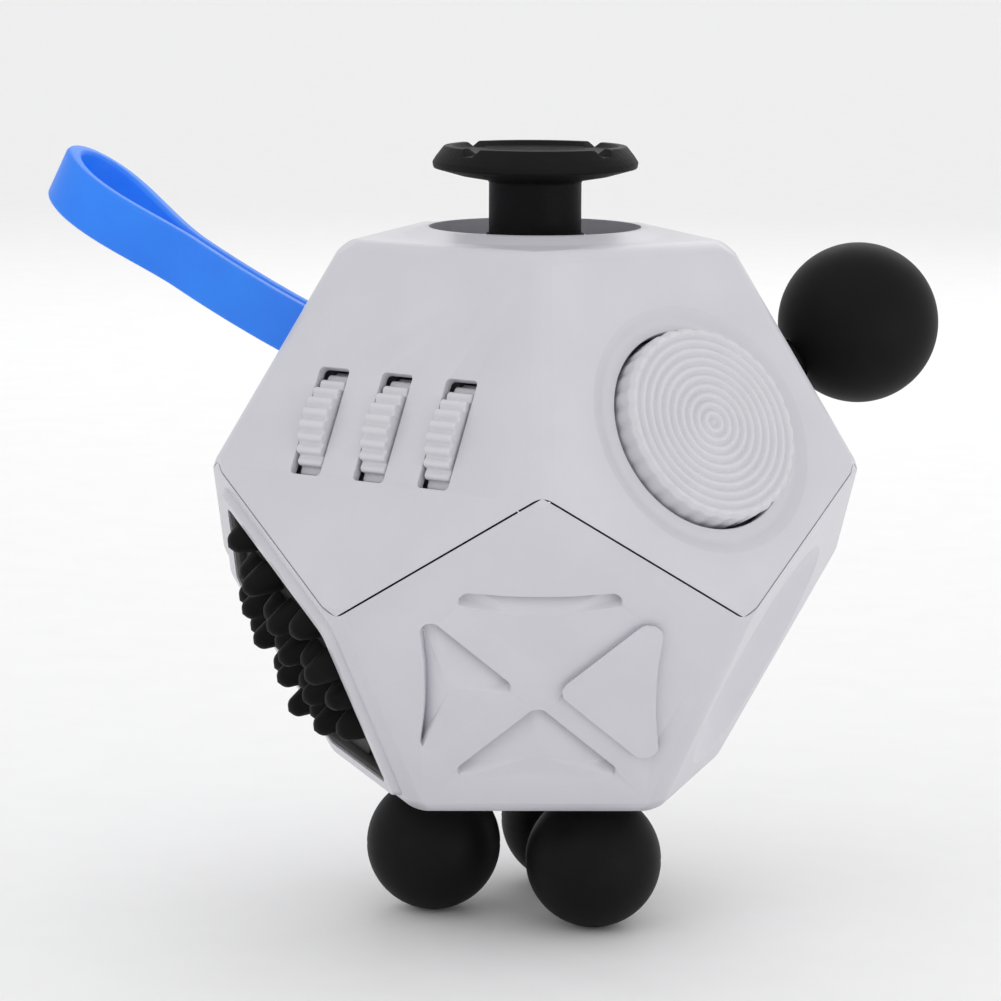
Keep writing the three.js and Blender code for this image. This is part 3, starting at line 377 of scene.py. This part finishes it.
def finish_piece(thing, body, material, replaces, crease=40):
    """Gives a piece its shading, finish and body, and hides the node that it stands for."""
    thing.data.materials.clear()
    thing.data.materials.append(material)
    thing.data.shade_smooth()
    thing.data.set_sharp_from_angle(angle=radians(crease))
    if body:
        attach(thing, body)
    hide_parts(replaces)


# ------------------------------------------------------------------ the shell

SIDES = [(-36, UPPER), (36, UPPER), (108, UPPER), (180, UPPER), (-108, UPPER),
         (0, LOWER), (72, LOWER), (144, LOWER), (-144, LOWER), (-72, LOWER)]
PLANES = [(Vector((0, 0, 1)), END_INRADIUS, UPPER), (Vector((0, 0, -1)), END_INRADIUS, LOWER)]
PLANES += [(face_frame(azimuth, ring).to_3x3().col[2], SIDE_INRADIUS, ring)
           for azimuth, ring in SIDES]
CORNERS = [trio for trio in combinations(range(12), 3)
           if all(PLANES[a][0].dot(PLANES[b][0]) > 0.4 for a, b in combinations(trio, 2))]


def shell_corner(trio, half, depth):
    """A corner of one half of the shell, drawn back from the seam where it is on it."""
    rows = Matrix([PLANES[index][0] for index in trio])
    point = rows.inverted() @ Vector([PLANES[index][1] - depth for index in trio])
    mine = [PLANES[index][0] for index in trio if PLANES[index][2] == half]
    others = [PLANES[index][0] for index in trio if PLANES[index][2] != half]
    if len(mine) == 2:
        along = mine[0].cross(mine[1]).normalized()
        along *= -1 if along.dot(others[0]) > 0 else 1
        return point + along * (SEAM / 2 / sin(radians(72)))
    if len(mine) == 1:
        back = -(others[0] + others[1])
        back -= mine[0] * back.dot(mine[0])
        return point + back.normalized() * (SEAM / 2 / sin(radians(54)))
    return point


def half_shell(half):
    """One half of the shell, its edges rounded, before its corners and openings are cut."""
    mesh = bmesh.new()
    points = {(trio, depth): mesh.verts.new(shell_corner(trio, half, depth))
              for trio in CORNERS for depth in (0, WALL)
              if any(PLANES[index][2] == half for index in trio)}
    rounds = []
    for index, (out, _, ring) in enumerate(PLANES):
        if ring != half:
            continue
        loop = [trio for trio in CORNERS if index in trio]
        centre = sum((points[trio, 0].co for trio in loop), Vector()) / len(loop)
        east = (points[loop[0], 0].co - centre).normalized()
        north = out.cross(east)
        loop.sort(key=lambda trio: (points[trio, 0].co - centre).dot(east)
                  / (points[trio, 0].co - centre).length
                  if (points[trio, 0].co - centre).dot(north) >= 0
                  else -2 - (points[trio, 0].co - centre).dot(east)
                  / (points[trio, 0].co - centre).length, reverse=True)
        mesh.faces.new([points[trio, 0] for trio in loop])
        mesh.faces.new([points[trio, WALL] for trio in reversed(loop)])
        for here, there in zip(loop, loop[1:] + loop[:1]):
            other = (set(here) & set(there) - {index}).pop()
            if PLANES[other][2] != half:
                mesh.faces.new([points[there, 0], points[here, 0],
                                points[here, WALL], points[there, WALL]])
            elif other > index:
                rounds.append((here, there))
    edges = [mesh.edges.get((points[here, 0], points[there, 0])) for here, there in rounds]
    bmesh.ops.bevel(mesh, geom=edges, offset=EDGE_ROUND, offset_type="OFFSET", segments=6,
                    profile=0.5, affect="EDGES", clamp_overlap=True)
    return mesh


ROLLER_RADIUS = 5.9
ROLLER_WIDTH = 2.75
ROLLER_TEETH = 30
ROLLER_OFFSETS = (-7.4, -0.4, 6.6)
ROLLER_Y = -1.25
ROLLER_DEPTH = 4.65
ROLLER_SLOT = (-6.3, 3.9)
ROLLER_SLOT_WIDTH = 3.35

DIAL_CENTRE = (1.2, -1.3)
DIAL_RADIUS = 9.0
DIAL_DISH = 11.6
DIAL_DISH_DEPTH = 0.4

STICK_HOLE = 9.8
CROWN = rounded([(0, 24.8), (12.9, 24.8), (12.9, 25.56), (12.3, 25.66, 1.6), (10.5, 26.3, 0.7),
                 (10.2, 26.35, 0.2), (0, 26.35)])  # the rise of the top face round the stick hole
KNOB_HOLE = 3.9
ROCKER_HOLE = (9, 14.4)
STRAP_Y = 4.0
STRAP_HOLE = (5.8, 6.4)

BUTTON_RADIUS = 2.5
BUTTON_PITCH = 5.4
BUTTON_Y = -1
BUTTON_PLACES = [(x * BUTTON_PITCH, BUTTON_Y + y * BUTTON_PITCH)
                 for x, y in ((-1, -1), (1, -1), (0, 0), (-1, 1), (1, 1))]


def roller_slots():
    """A slot for each roller, widened inside the wall."""
    slots = []
    for x in ROLLER_OFFSETS:
        outline = rectangle(x, (ROLLER_SLOT[0] + ROLLER_SLOT[1]) / 2, ROLLER_SLOT_WIDTH,
                            ROLLER_SLOT[1] - ROLLER_SLOT[0], 0.45)
        slots.append((prism(outline, [(-1.2, -3), (-1.2, -2.2), (0, -0.9), (0, 1)]), ROLLERS_AT))
    return slots


upper = to_object("shell_top", half_shell(UPPER))
corner_ball = [(max(r, 0), z) for r, z in arc(CORNER_REACH, 180, 0, 48)]
carve(upper, lathe(corner_ball, 96), "INTERSECT")
carve(upper, lathe(CROWN, 128), "UNION")
dial_cutter = lathe(rounded([(0, -4), (DIAL_RADIUS + GAP, -4), (DIAL_RADIUS + GAP, -0.12, 0.1),
                             (DIAL_DISH - 1.2, -DIAL_DISH_DEPTH, 1.2), (DIAL_DISH, 0, 0.9),
                             (DIAL_DISH + 0.6, 0.06), (DIAL_DISH + 0.6, 1), (0, 1)]), 128)
carve(upper, joined(roller_slots() + [
    (hole(STICK_HOLE, 128, 20, 27), LEVEL),
    (dial_cutter, DIAL_AT @ shift(*DIAL_CENTRE)),
    (hole(KNOB_HOLE, 64), KNOB_AT),
    (prism(rectangle(0, 0, *ROCKER_HOLE, 1), CUT), ROCKER_AT),
    (prism(rectangle(0, STRAP_Y, *STRAP_HOLE, 1), CUT), STRAP_AT),
]))
soften(upper, HOLE_EDGE)
finish_piece(upper, "root", SHELL_GREY, "upper_shell")

# The lower half: a moulded cross, a thumb dish, buttons, a slider, the pad and the pins.

CROSS_Y = -1.65
CROSS_APEX = 2.1
CROSS_REACH = 10.6
CROSS_WAIST = 10.0
CROSS_DEEP, CROSS_SHALLOW = 1.3, 0.02
CROSS_MIDDLE = Vector((0, (CROSS_APEX + 2 * CROSS_REACH) / 3))
CROSS_WALL = ((-0.4, 0.6, 0), (-0.14, 0.02, 0), (-0.05, 0, 0.1), (0, 0, 0.35), (0.12, 0, 1))
CROSS_FLOOR = ((0.74, 0.5), (0.5, 0.2), (0.26, 0.05), (0.1, 0.01))


def cross_recess(quarter):
    """A recess between two arms, deep under its upper sides and fading out towards its lower."""
    corner = CROSS_REACH - CROSS_APEX
    bow = [(corner - 2 * corner * step / 12,
            CROSS_REACH - (CROSS_REACH - CROSS_WAIST) * (1 - (1 - step / 6) ** 2))
           for step in range(4, 9)]
    turn = Matrix.Rotation(quarter * pi / 2, 2)
    outline = [tuple(turn @ Vector(point)) for point in rounded(
        [(0, CROSS_APEX, 1.0), (corner, CROSS_REACH, 0.85), *bow, (-corner, CROSS_REACH, 0.85)],
        True, 8)]
    middle = turn @ CROSS_MIDDLE
    outward = [Vector(point) - Vector(moved) for point, moved in zip(outline, inset(outline, 1))]
    depths = [CROSS_SHALLOW + (CROSS_DEEP - CROSS_SHALLOW) * min(max((out.y + 0.5) / 0.7, 0), 1)
              for out in outward]
    mesh = bmesh.new()
    rings = []
    for distance, height, share in CROSS_WALL:
        rings.append([mesh.verts.new((x, y, height - share * depth))
                      for (x, y), depth in zip(inset(outline, distance), depths)])
    for reach, share in CROSS_FLOOR:
        rings.append([mesh.verts.new((*middle.lerp(Vector(point), reach),
                                      -CROSS_SHALLOW - share * (depth - CROSS_SHALLOW)))
                      for point, depth in zip(outline, depths)])
    for before, after in zip(rings, rings[1:]):
        skin(mesh, before, after)
    mesh.faces.new(rings[0])
    mesh.faces.new(rings[-1])
    return mesh, CROSS_AT @ shift(0, CROSS_Y)


SLIDER_Y = 1.5
SLIDER_SLOT = (14.8, 4)

THUMB_RADIUS = 11.5
THUMB_DEPTH = 2.6
THUMB_SPHERE = (THUMB_RADIUS ** 2 + THUMB_DEPTH ** 2) / (2 * THUMB_DEPTH)
THUMB_REACH = degrees(asin(THUMB_RADIUS / THUMB_SPHERE))
THUMB_CENTRE = -1.6

PAD_RADIUS = 15.2
PAD_Y = -0.7
PAD_FRAME = 0.7
PAD_RECESS = 0.3
PAD_THICK = 1.2

TRIPOD_AZIMUTHS = (-83, 37, 157)
TRIPOD_REACH = 9.3
POST_AZIMUTHS = (0, 72, -144)
POST_REACH = 12.3
PIN_HOLE = 1.7
SCREW_HOLE = 1.75
FLOOR_CUT = (-27, -21)  # heights that the holes in the floor reach between


def around(azimuth, reach):
    """A place at a distance from the z axis, by azimuth."""
    turn = radians(azimuth)
    return shift(reach * sin(turn), -reach * cos(turn))


def thumb_cutter():
    """The shallow round dish for a thumb."""
    bowl = [(r, THUMB_SPHERE - THUMB_DEPTH - z)
            for r, z in arc(THUMB_SPHERE, 0, THUMB_REACH, 10)]
    return lathe(bowl + [(THUMB_RADIUS, 1), (0, 1)], 96), THUMB_AT @ shift(0, THUMB_CENTRE)


lower = to_object("shell_base", half_shell(LOWER))
carve(lower, lathe(corner_ball, 96), "INTERSECT")
carve(lower, joined([
    (lathe([(0, -4.4), (6.4, -4.4), (11.2, -1.2), (0, -1.2)], 48),
     THUMB_AT @ shift(0, THUMB_CENTRE)),
    (prism(pentagon(PAD_RADIUS + 0.8, PAD_Y, 1.6), [(0, -3), (0, -1)]), PAD_AT),
    (prism(pentagon(17.2, PAD_Y, 1.6), [(0, -1), (0, 0.02), (0.45, PAD_FRAME)]), PAD_AT),
]), "UNION")
carve(lower, joined([
    thumb_cutter(),
    (prism(pentagon(PAD_RADIUS, PAD_Y, 1.2), [(0, -1.8), (0, 1)]), PAD_AT),
    *((hole(BUTTON_RADIUS + GAP, 48), BUTTONS_AT @ shift(x, y)) for x, y in BUTTON_PLACES),
    (prism(rectangle(0, SLIDER_Y, *SLIDER_SLOT, 1), CUT), SLIDER_AT),
    *((hole(PIN_HOLE, 32, *FLOOR_CUT), around(azimuth, TRIPOD_REACH))
      for azimuth in TRIPOD_AZIMUTHS),
    *((hole(SCREW_HOLE, 32, *FLOOR_CUT), around(azimuth, POST_REACH))
      for azimuth in POST_AZIMUTHS),
]))
soften(lower, HOLE_EDGE)
carve(lower, joined([cross_recess(quarter) for quarter in range(4)]))
finish_piece(lower, "root", SHELL_GREY, "lower_shell")


# ------------------------------------------------------------ the thumb stick

STEM_RADIUS = 4.27
CAP_RADIUS = 9.5
CAP_RIM = 8.3
CAP_TOP = 33.8
CAP_WIDEST = 32.3

cap_profile = rounded([
    (0, 31), (2.5, 31, 0.2), (2.5, 23.9, 0.1), (STEM_RADIUS, 23.9, 0.25),
    (STEM_RADIUS, 30.6, 0.35),
    (6.9, 31.05, 1.5), (CAP_RADIUS - 0.1, 31.75, 0.25), (CAP_RADIUS, CAP_WIDEST, 0.35),
    (CAP_RADIUS - 0.35, 32.85, 0.5), (CAP_RIM + 0.1, CAP_TOP, 0.35),
    (CAP_RIM - 0.55, CAP_TOP, 0.3),
    (CAP_RIM - 1.0, CAP_TOP - 0.45, 0.4), (5, CAP_TOP - 1.05, 4), (0, CAP_TOP - 1.3)], steps=6)
cap = to_object("stick_cap", lathe(cap_profile, 144))
notch = rounded([(-1.5, 0.6), (-0.55, -0.55, 0.15), (0.55, -0.55, 0.15), (1.5, 0.6)])


def cap_notch(eighth):
    """A dovetail notch across the rim, deeper outwards."""
    mesh = bmesh.new()
    rings = []
    for reach, drop in ((CAP_RIM - 1.3, 0.0), (CAP_RIM + 1.6, 0.25)):
        rings.append([mesh.verts.new((reach, x, CAP_TOP + z - drop)) for x, z in notch])
    skin(mesh, *rings)
    mesh.faces.new(rings[0])
    mesh.faces.new(rings[1][::-1])
    return mesh, Matrix.Rotation(eighth * pi / 4, 4, "Z")


carve(cap, joined([cap_notch(eighth) for eighth in (1, 3, 5, 7)]))
soften(cap, 0.12, 2, 40)
finish_piece(cap, "cap", GRAINED_BLACK, "thumb_cap", 50)

DOME = 8.5
DOME_WALL = 0.8
PIVOT = 18.5
neck_turn = degrees(asin((STEM_RADIUS + 0.3) / DOME))
inner_turn = degrees(asin((STEM_RADIUS + 0.3) / (DOME - DOME_WALL)))
dome_profile = arc(DOME, neck_turn, 60, 16) + arc(DOME - DOME_WALL, 60, inner_turn, 16)
dome = to_object("stick_dome", lathe(dome_profile, 96, closed=True), shift(0, 0, PIVOT))
finish_piece(dome, "stick", TRIM_GREY, "joystick_dome", 50)


# ---------------------------------------------------------------- the rollers

def roller_tooth(turn, radius, height):
    """Broad rounded ribs with narrow valleys, on the running surface only."""
    if radius < ROLLER_RADIUS - 0.7:
        return 0
    valley = (0.5 + 0.5 * cos(ROLLER_TEETH * turn)) ** 1.5
    return -0.42 * valley


roller_half = ROLLER_WIDTH / 2
roller_profile = rounded([
    (1.1, -roller_half, 0.1), (ROLLER_RADIUS, -roller_half, 0.2),
    (ROLLER_RADIUS, roller_half, 0.2), (1.1, roller_half, 0.1)], True, 4)
for number, x in enumerate(ROLLER_OFFSETS, 1):
    place = ROLLERS_AT @ shift(x, ROLLER_Y, -ROLLER_DEPTH) @ Matrix.Rotation(pi / 2, 4, "Y")
    roller = to_object(f"ridged_roller_{number}",
                       lathe(roller_profile, ROLLER_TEETH * 12, True, roller_tooth), place)
    finish_piece(roller, f"roller_{number}", TRIM_GREY, f"roller_{number}", 50)

# ------------------------------------------------------------------- the dial

DIAL_TOP = 1.9
DIAL_BOTTOM = -1.9
RIPPLE_PITCH = 0.84
RIPPLE_DEPTH = 0.3
RIPPLE_COUNT = 10
DIAL_SCALLOPS = 32


def dial_wave(turn, radius, height):
    """Finger scallops round the side of the disc."""
    if radius < DIAL_RADIUS - 0.5:
        return 0
    return -0.16 * (0.5 - 0.5 * cos(DIAL_SCALLOPS * turn)) ** 2


ripples = []
for step in range(RIPPLE_COUNT * 8, 0, -1):
    phase = step / 8
    valley = (0.5 - 0.5 * cos(2 * pi * phase)) ** 1.3
    ripples.append((phase * RIPPLE_PITCH, DIAL_TOP - RIPPLE_DEPTH * valley))
dial_profile = rounded([
    (0, -2.5), (0.9, -2.5), (0.9, -6.1), (2, -6.1, 0.2), (2, DIAL_BOTTOM, 0.2),
    (DIAL_RADIUS - 0.05, DIAL_BOTTOM, 0.3), (DIAL_RADIUS, DIAL_TOP - 0.5, 0.5),
    (DIAL_RADIUS - 0.35, DIAL_TOP, 0.3), (RIPPLE_PITCH * RIPPLE_COUNT + 0.02, DIAL_TOP)])
dial_profile += ripples + [(0, DIAL_TOP)]
dial = to_object("rippled_dial", lathe(dial_profile, DIAL_SCALLOPS * 8, wave=dial_wave),
                 DIAL_AT @ shift(*DIAL_CENTRE))
finish_piece(dial, "dial", TRIM_GREY, "dial_disc", 50)

# ------------------------------------------------------------------ the balls


def ball(name, radius, neck, mouth, body, node, place):
    """A ball with a flat round the mouth that its pin goes into, and a faint parting line."""
    mouth_turn = degrees(acos(mouth / radius))
    outside = []
    for r, z in arc(radius, mouth_turn, 180, 60):
        groove = 0.035 if abs(z) < 0.12 else 0
        outside.append((max(r - groove, 0), z))
    profile = [(0, mouth - 2.5)] + rounded([(neck, mouth - 2.5), (neck, mouth, 0.15), outside[0]])
    thing = to_object(name, lathe(profile + outside[1:], 96), place)
    finish_piece(thing, body, BLACK_RUBBER, node, 50)


KNOB_RADIUS = 7.64
KNOB_HEIGHT = 11.68
ball("big_ball", KNOB_RADIUS, 2.0, KNOB_RADIUS - 0.4, "knob", "ball_knob",
     KNOB_AT @ shift(0, 0, KNOB_HEIGHT) @ Matrix.Rotation(pi, 4, "X"))

BALL_RADIUS = 6.3
BALL_HEIGHT = -31.8
for number, azimuth in enumerate(TRIPOD_AZIMUTHS, 1):
    ball(f"foot_ball_{number}", BALL_RADIUS, 1.7, -END_INRADIUS - 0.35 - BALL_HEIGHT,
         f"ball_{number}", f"bottom_ball_{number}",
         around(azimuth, TRIPOD_REACH) @ shift(0, 0, BALL_HEIGHT))

# ------------------------------------------------------------------ the strap

STRAP_WIDTH = 5.0
STRAP_THICK = 1.5
STRAP_START = -1.4
STRAP_STRAIGHT = 15.0
STRAP_WIDEST = 4.2
STRAP_TURN = 26.0
STRAP_DROOP = 0.04
STRAP_RISE = 0.0038
STRAP_LEG = 0.15 + STRAP_THICK / 2


def strap_path():
    """(across, out) points along the middle of the band, up one leg and down the other."""
    leg = []
    for step in range(41):
        out = STRAP_START + (STRAP_TURN - STRAP_START) * step / 40
        part = min(max((out - STRAP_STRAIGHT) / (STRAP_TURN - STRAP_STRAIGHT), 0), 1)
        part = part * part * (3 - 2 * part)
        leg.append((STRAP_LEG + (STRAP_WIDEST - STRAP_LEG) * part, out))
    bow = [(STRAP_WIDEST * cos(pi * step / 24), STRAP_TURN + STRAP_WIDEST * sin(pi * step / 24))
           for step in range(1, 24)]
    return leg + bow + [(-x, out) for x, out in reversed(leg)]


strap_mesh = bmesh.new()
section = rectangle(0, 0, STRAP_THICK, STRAP_WIDTH, 0.42, 4)
path = [Vector(point) for point in strap_path()]
rings = []
for index, point in enumerate(path):
    ahead = (path[min(index + 1, len(path) - 1)] - path[max(index - 1, 0)]).normalized()
    out = max(point.y, 0)
    rise = (STRAP_RISE * out - STRAP_DROOP) * out
    ring = []
    for across, along in section:
        x, z = point.x + ahead.y * across, point.y - ahead.x * across
        ring.append(strap_mesh.verts.new((x, STRAP_Y + rise + along, z)))
    rings.append(ring)
for before, after in zip(rings, rings[1:]):
    skin(strap_mesh, before, after)
strap_mesh.faces.new(rings[0])
strap_mesh.faces.new(rings[-1][::-1])
strap = to_object("silicone_strap", strap_mesh, STRAP_AT)
finish_piece(strap, None, BLUE_SILICONE, "strap_loop", 60)
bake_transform(strap)

# ------------------------------------------------------------- the spiked pad

SPIKE_PITCH = 4.3
SPIKE_RADIUS = 1.75
SPIKE_TALL, SPIKE_SHORT = 3.6, 2.6
SPIKE_SHIFT = 0.7
SPIKE_EDGE = PAD_RADIUS * cos(pi / 5) - 2


def spike(height):
    """A round-tipped cone with a soft foot."""
    side = rounded([(0, -0.5), (SPIKE_RADIUS + 0.2, -0.5), (SPIKE_RADIUS + 0.17, 0),
                    (SPIKE_RADIUS - 0.1, 0.15), (SPIKE_RADIUS * 0.8, height * 0.4),
                    (SPIKE_RADIUS * 0.5, height - 0.4, 1.0), (0, height + 0.02)], steps=8)
    return lathe(side[:-1] + [(0, height)], 28)


def petal_plate():
    """A raised plateau whose five sides bow outwards between the corners of the pad."""
    outline = []
    for side in range(5):
        for step in range(14):
            turn = radians(90 + 72 * (side + step / 14))
            bow = 1 - abs(step / 14 - 0.5) * 2
            reach = SPIKE_EDGE + 0.3 + 1.1 * sqrt(1 - (1 - bow) ** 2)
            outline.append((reach * cos(turn), PAD_Y + reach * sin(turn)))
    layers = rim_fillet([(0, -PAD_RECESS - 0.3)], -PAD_RECESS + 0.28, 0.18)
    return prism(outline, layers)


pad_parts = [
    (prism(pentagon(PAD_RADIUS - 0.15, PAD_Y, 1.2),
           [(0.1, -PAD_RECESS - PAD_THICK), (0, -PAD_RECESS), (0, PAD_FRAME - 0.22),
            (0.08, PAD_FRAME - 0.14), (0.8, PAD_FRAME - 0.14), (0.9, PAD_FRAME - 0.22),
            (1.1, -PAD_RECESS)]), LEVEL),
    (petal_plate(), LEVEL)]
for row in range(-3, 4):
    for column in range(-3, 4):
        x = (column + (0.5 if row % 2 == 0 else 0)) * SPIKE_PITCH
        y = row * SPIKE_PITCH * sin(pi / 3) + SPIKE_SHIFT
        sides = [radians(-90 + 72 * side) for side in range(5)]
        if any(x * cos(turn) + y * sin(turn) > SPIKE_EDGE for turn in sides):
            continue
        height = SPIKE_TALL if (row + column) % 2 == 0 else SPIKE_SHORT
        pad_parts.append((spike(height), shift(x, PAD_Y + y, -PAD_RECESS)))
pad = to_object("spike_pad", joined(pad_parts), PAD_AT)
finish_piece(pad, "root", BLACK_RUBBER, "spiked_pad", 45)

# --------------------------------------------- rocker, buttons and the slider

ROCKER_WIDTH, ROCKER_LENGTH, ROCKER_PIVOT = 8.0, 12.4, -3.4
half = ROCKER_LENGTH / 2
dip = [(-half + 0.5 + (ROCKER_LENGTH - 1) * step / 16,
        0.8 + 1.5 * abs(step / 8 - 1) ** 1.7) for step in range(1, 16)]
rocker_outline = rounded([(-half, -0.6), (-half + 0.5, 2.3, 0.4), *dip, (half - 0.5, 2.3, 0.4),
                          (half, -0.6), (1.8, ROCKER_PIVOT - 1.8), (-1.8, ROCKER_PIVOT - 1.8)],
                         True)[::-1]
edge = ROCKER_WIDTH / 2
turn_up = Matrix.Rotation(pi / 2, 4, "Z") @ Matrix.Rotation(pi / 2, 4, "X")
rocker = to_object("rocker_pad", prism(rocker_outline, [(0.3, -edge), (0.09, -edge + 0.09),
                                                        (0, -edge + 0.3), (0, edge - 0.3),
                                                        (0.09, edge - 0.09), (0.3, edge)]),
                   ROCKER_AT @ turn_up)
bore_at = ROCKER_AT @ shift(0, 0, ROCKER_PIVOT) @ Matrix.Rotation(pi / 2, 4, "Y")
carve(rocker, joined([(hole(1.0, 32, -6, 6), bore_at)]))
finish_piece(rocker, "rocker", BLACK_PLASTIC, "rocker_switch", 40)

button_profile = rounded([
    (0, -3.6), (1.1, -3.6, 0.1), (1.1, -3.1), (3.2, -3.1, 0.1), (3.2, -2.3, 0.1), (2.5, -2.3),
    (2.5, 1.1, 0.6), (1.6, 1.42, 2), (0, 1.5)])
for number, (x, y) in enumerate(BUTTON_PLACES, 1):
    button = to_object(f"click_button_{number}", lathe(button_profile, 64),
                       BUTTONS_AT @ shift(x, y))
    finish_piece(button, f"button_{number}", BLACK_PLASTIC,
                 f"button_{number}", 50)

grip = prism(rectangle(0, SLIDER_Y, 5.2, 3.4, 0.8), rim_fillet([(0, -2.8)], 1.9, 0.35))
foot_plate = prism(rectangle(0, SLIDER_Y, 7.2, 6, 0.6), [(0, -3.4), (0, -2.3)])
slider = to_object("slide_grip", grip, SLIDER_AT)
carve(slider, joined([(foot_plate, SLIDER_AT)]), "UNION")
grooves = [(prism(rectangle(x, SLIDER_Y, 0.5, 6, 0.2), [(0, 1.35), (0, 3)]), SLIDER_AT)
           for x in (-1.3, 0, 1.3)]
carve(slider, joined(grooves))
soften(slider, 0.1, 2, 40)
finish_piece(slider, "slider", BLACK_PLASTIC, "slider_knob", 45)

# ------------------------------- CAD nodes whose shape is right get a finish

FINISHES = {"shell_grey": SHELL_GREY, "trim_grey": TRIM_GREY, "inner_grey": INNER_GREY,
            "black_plastic": BLACK_PLASTIC, "black_rubber": BLACK_RUBBER,
            "blue_silicone": BLUE_SILICONE, "steel": STEEL}
for part in frame["record"]["subparts"]:
    node = frame["nodes"][part["node"]]
    if not node.hide_render:
        for index in range(len(node.data.materials)):
            node.data.materials[index] = FINISHES[part["material_slot"]]

# ------------------------------------------------------- floor, light, camera

scene = bpy.context.scene
scene.view_settings.view_transform = "Standard"
FLOOR_HALF = 14.0
ground = bmesh.new()
bmesh.ops.create_grid(ground, x_segments=24, y_segments=24, size=FLOOR_HALF)
floor_data = bpy.data.meshes.new("floor")
ground.to_mesh(floor_data)
ground.free()
floor = bpy.data.objects.new("floor", floor_data)
floor.location.z = cad_low.z
scene.collection.objects.link(floor)
floor_data.materials.append(moulded("paper", (0.91, 0.91, 0.91), (0.93, 0.93, 0.93),
                                    (0.6, 0.7), 900, 1e-5, Specular_IOR_Level=0.2))

world = bpy.data.worlds.new("studio")
world.use_nodes = True
world.node_tree.nodes["Background"].inputs["Color"].default_value = (1, 1, 1, 1)
world.node_tree.nodes["Background"].inputs["Strength"].default_value = 0.93
scene.world = world


def soft_light(name, place, target, size, power):
    """An area light that faces a point."""
    light = bpy.data.lights.new(name, "AREA")
    light.shape = "RECTANGLE"
    light.size, light.size_y = size
    light.energy = power
    lamp = bpy.data.objects.new(name, light)
    lamp.location = place
    lamp.rotation_euler = (Vector(target) - Vector(place)).to_track_quat("-Z", "Y").to_euler()
    scene.collection.objects.link(lamp)


soft_light("key", (-0.45, -0.45, 0.35), (0, 0, 0), (0.35, 0.35), 0.22)
soft_light("fill", (0.5, -0.5, -0.01), (0, 0, 0), (0.35, 0.06), 0.55)
soft_light("back", (0.1, 0.55, 0.35), (0, 0, 0), (0.5, 0.3), 0.5)

# The camera looks a little down on the face with the cross.
LENS = 134.37
CAMERA_YAW, CAMERA_RISE, CAMERA_ROLL = radians(1.0), radians(9.08), radians(0.29)
view = (Matrix.Rotation(CAMERA_ROLL, 3, "Y") @ Matrix.Rotation(CAMERA_RISE, 3, "X")
        @ Matrix.Rotation(CAMERA_YAW, 3, "Z")).inverted()
right, ahead, up = view.col
lens = bpy.data.cameras.new("camera")
lens.lens = LENS
lens.sensor_width = 36
lens.clip_start, lens.clip_end = 0.01, 50
camera = bpy.data.objects.new("camera", lens)
turned_to = Matrix((right, up, -ahead)).transposed().to_4x4()
turned_to.translation = Vector((-9.07, -344.58, 55.77)) * MM
camera.matrix_world = turned_to
scene.collection.objects.link(camera)
scene.camera = camera
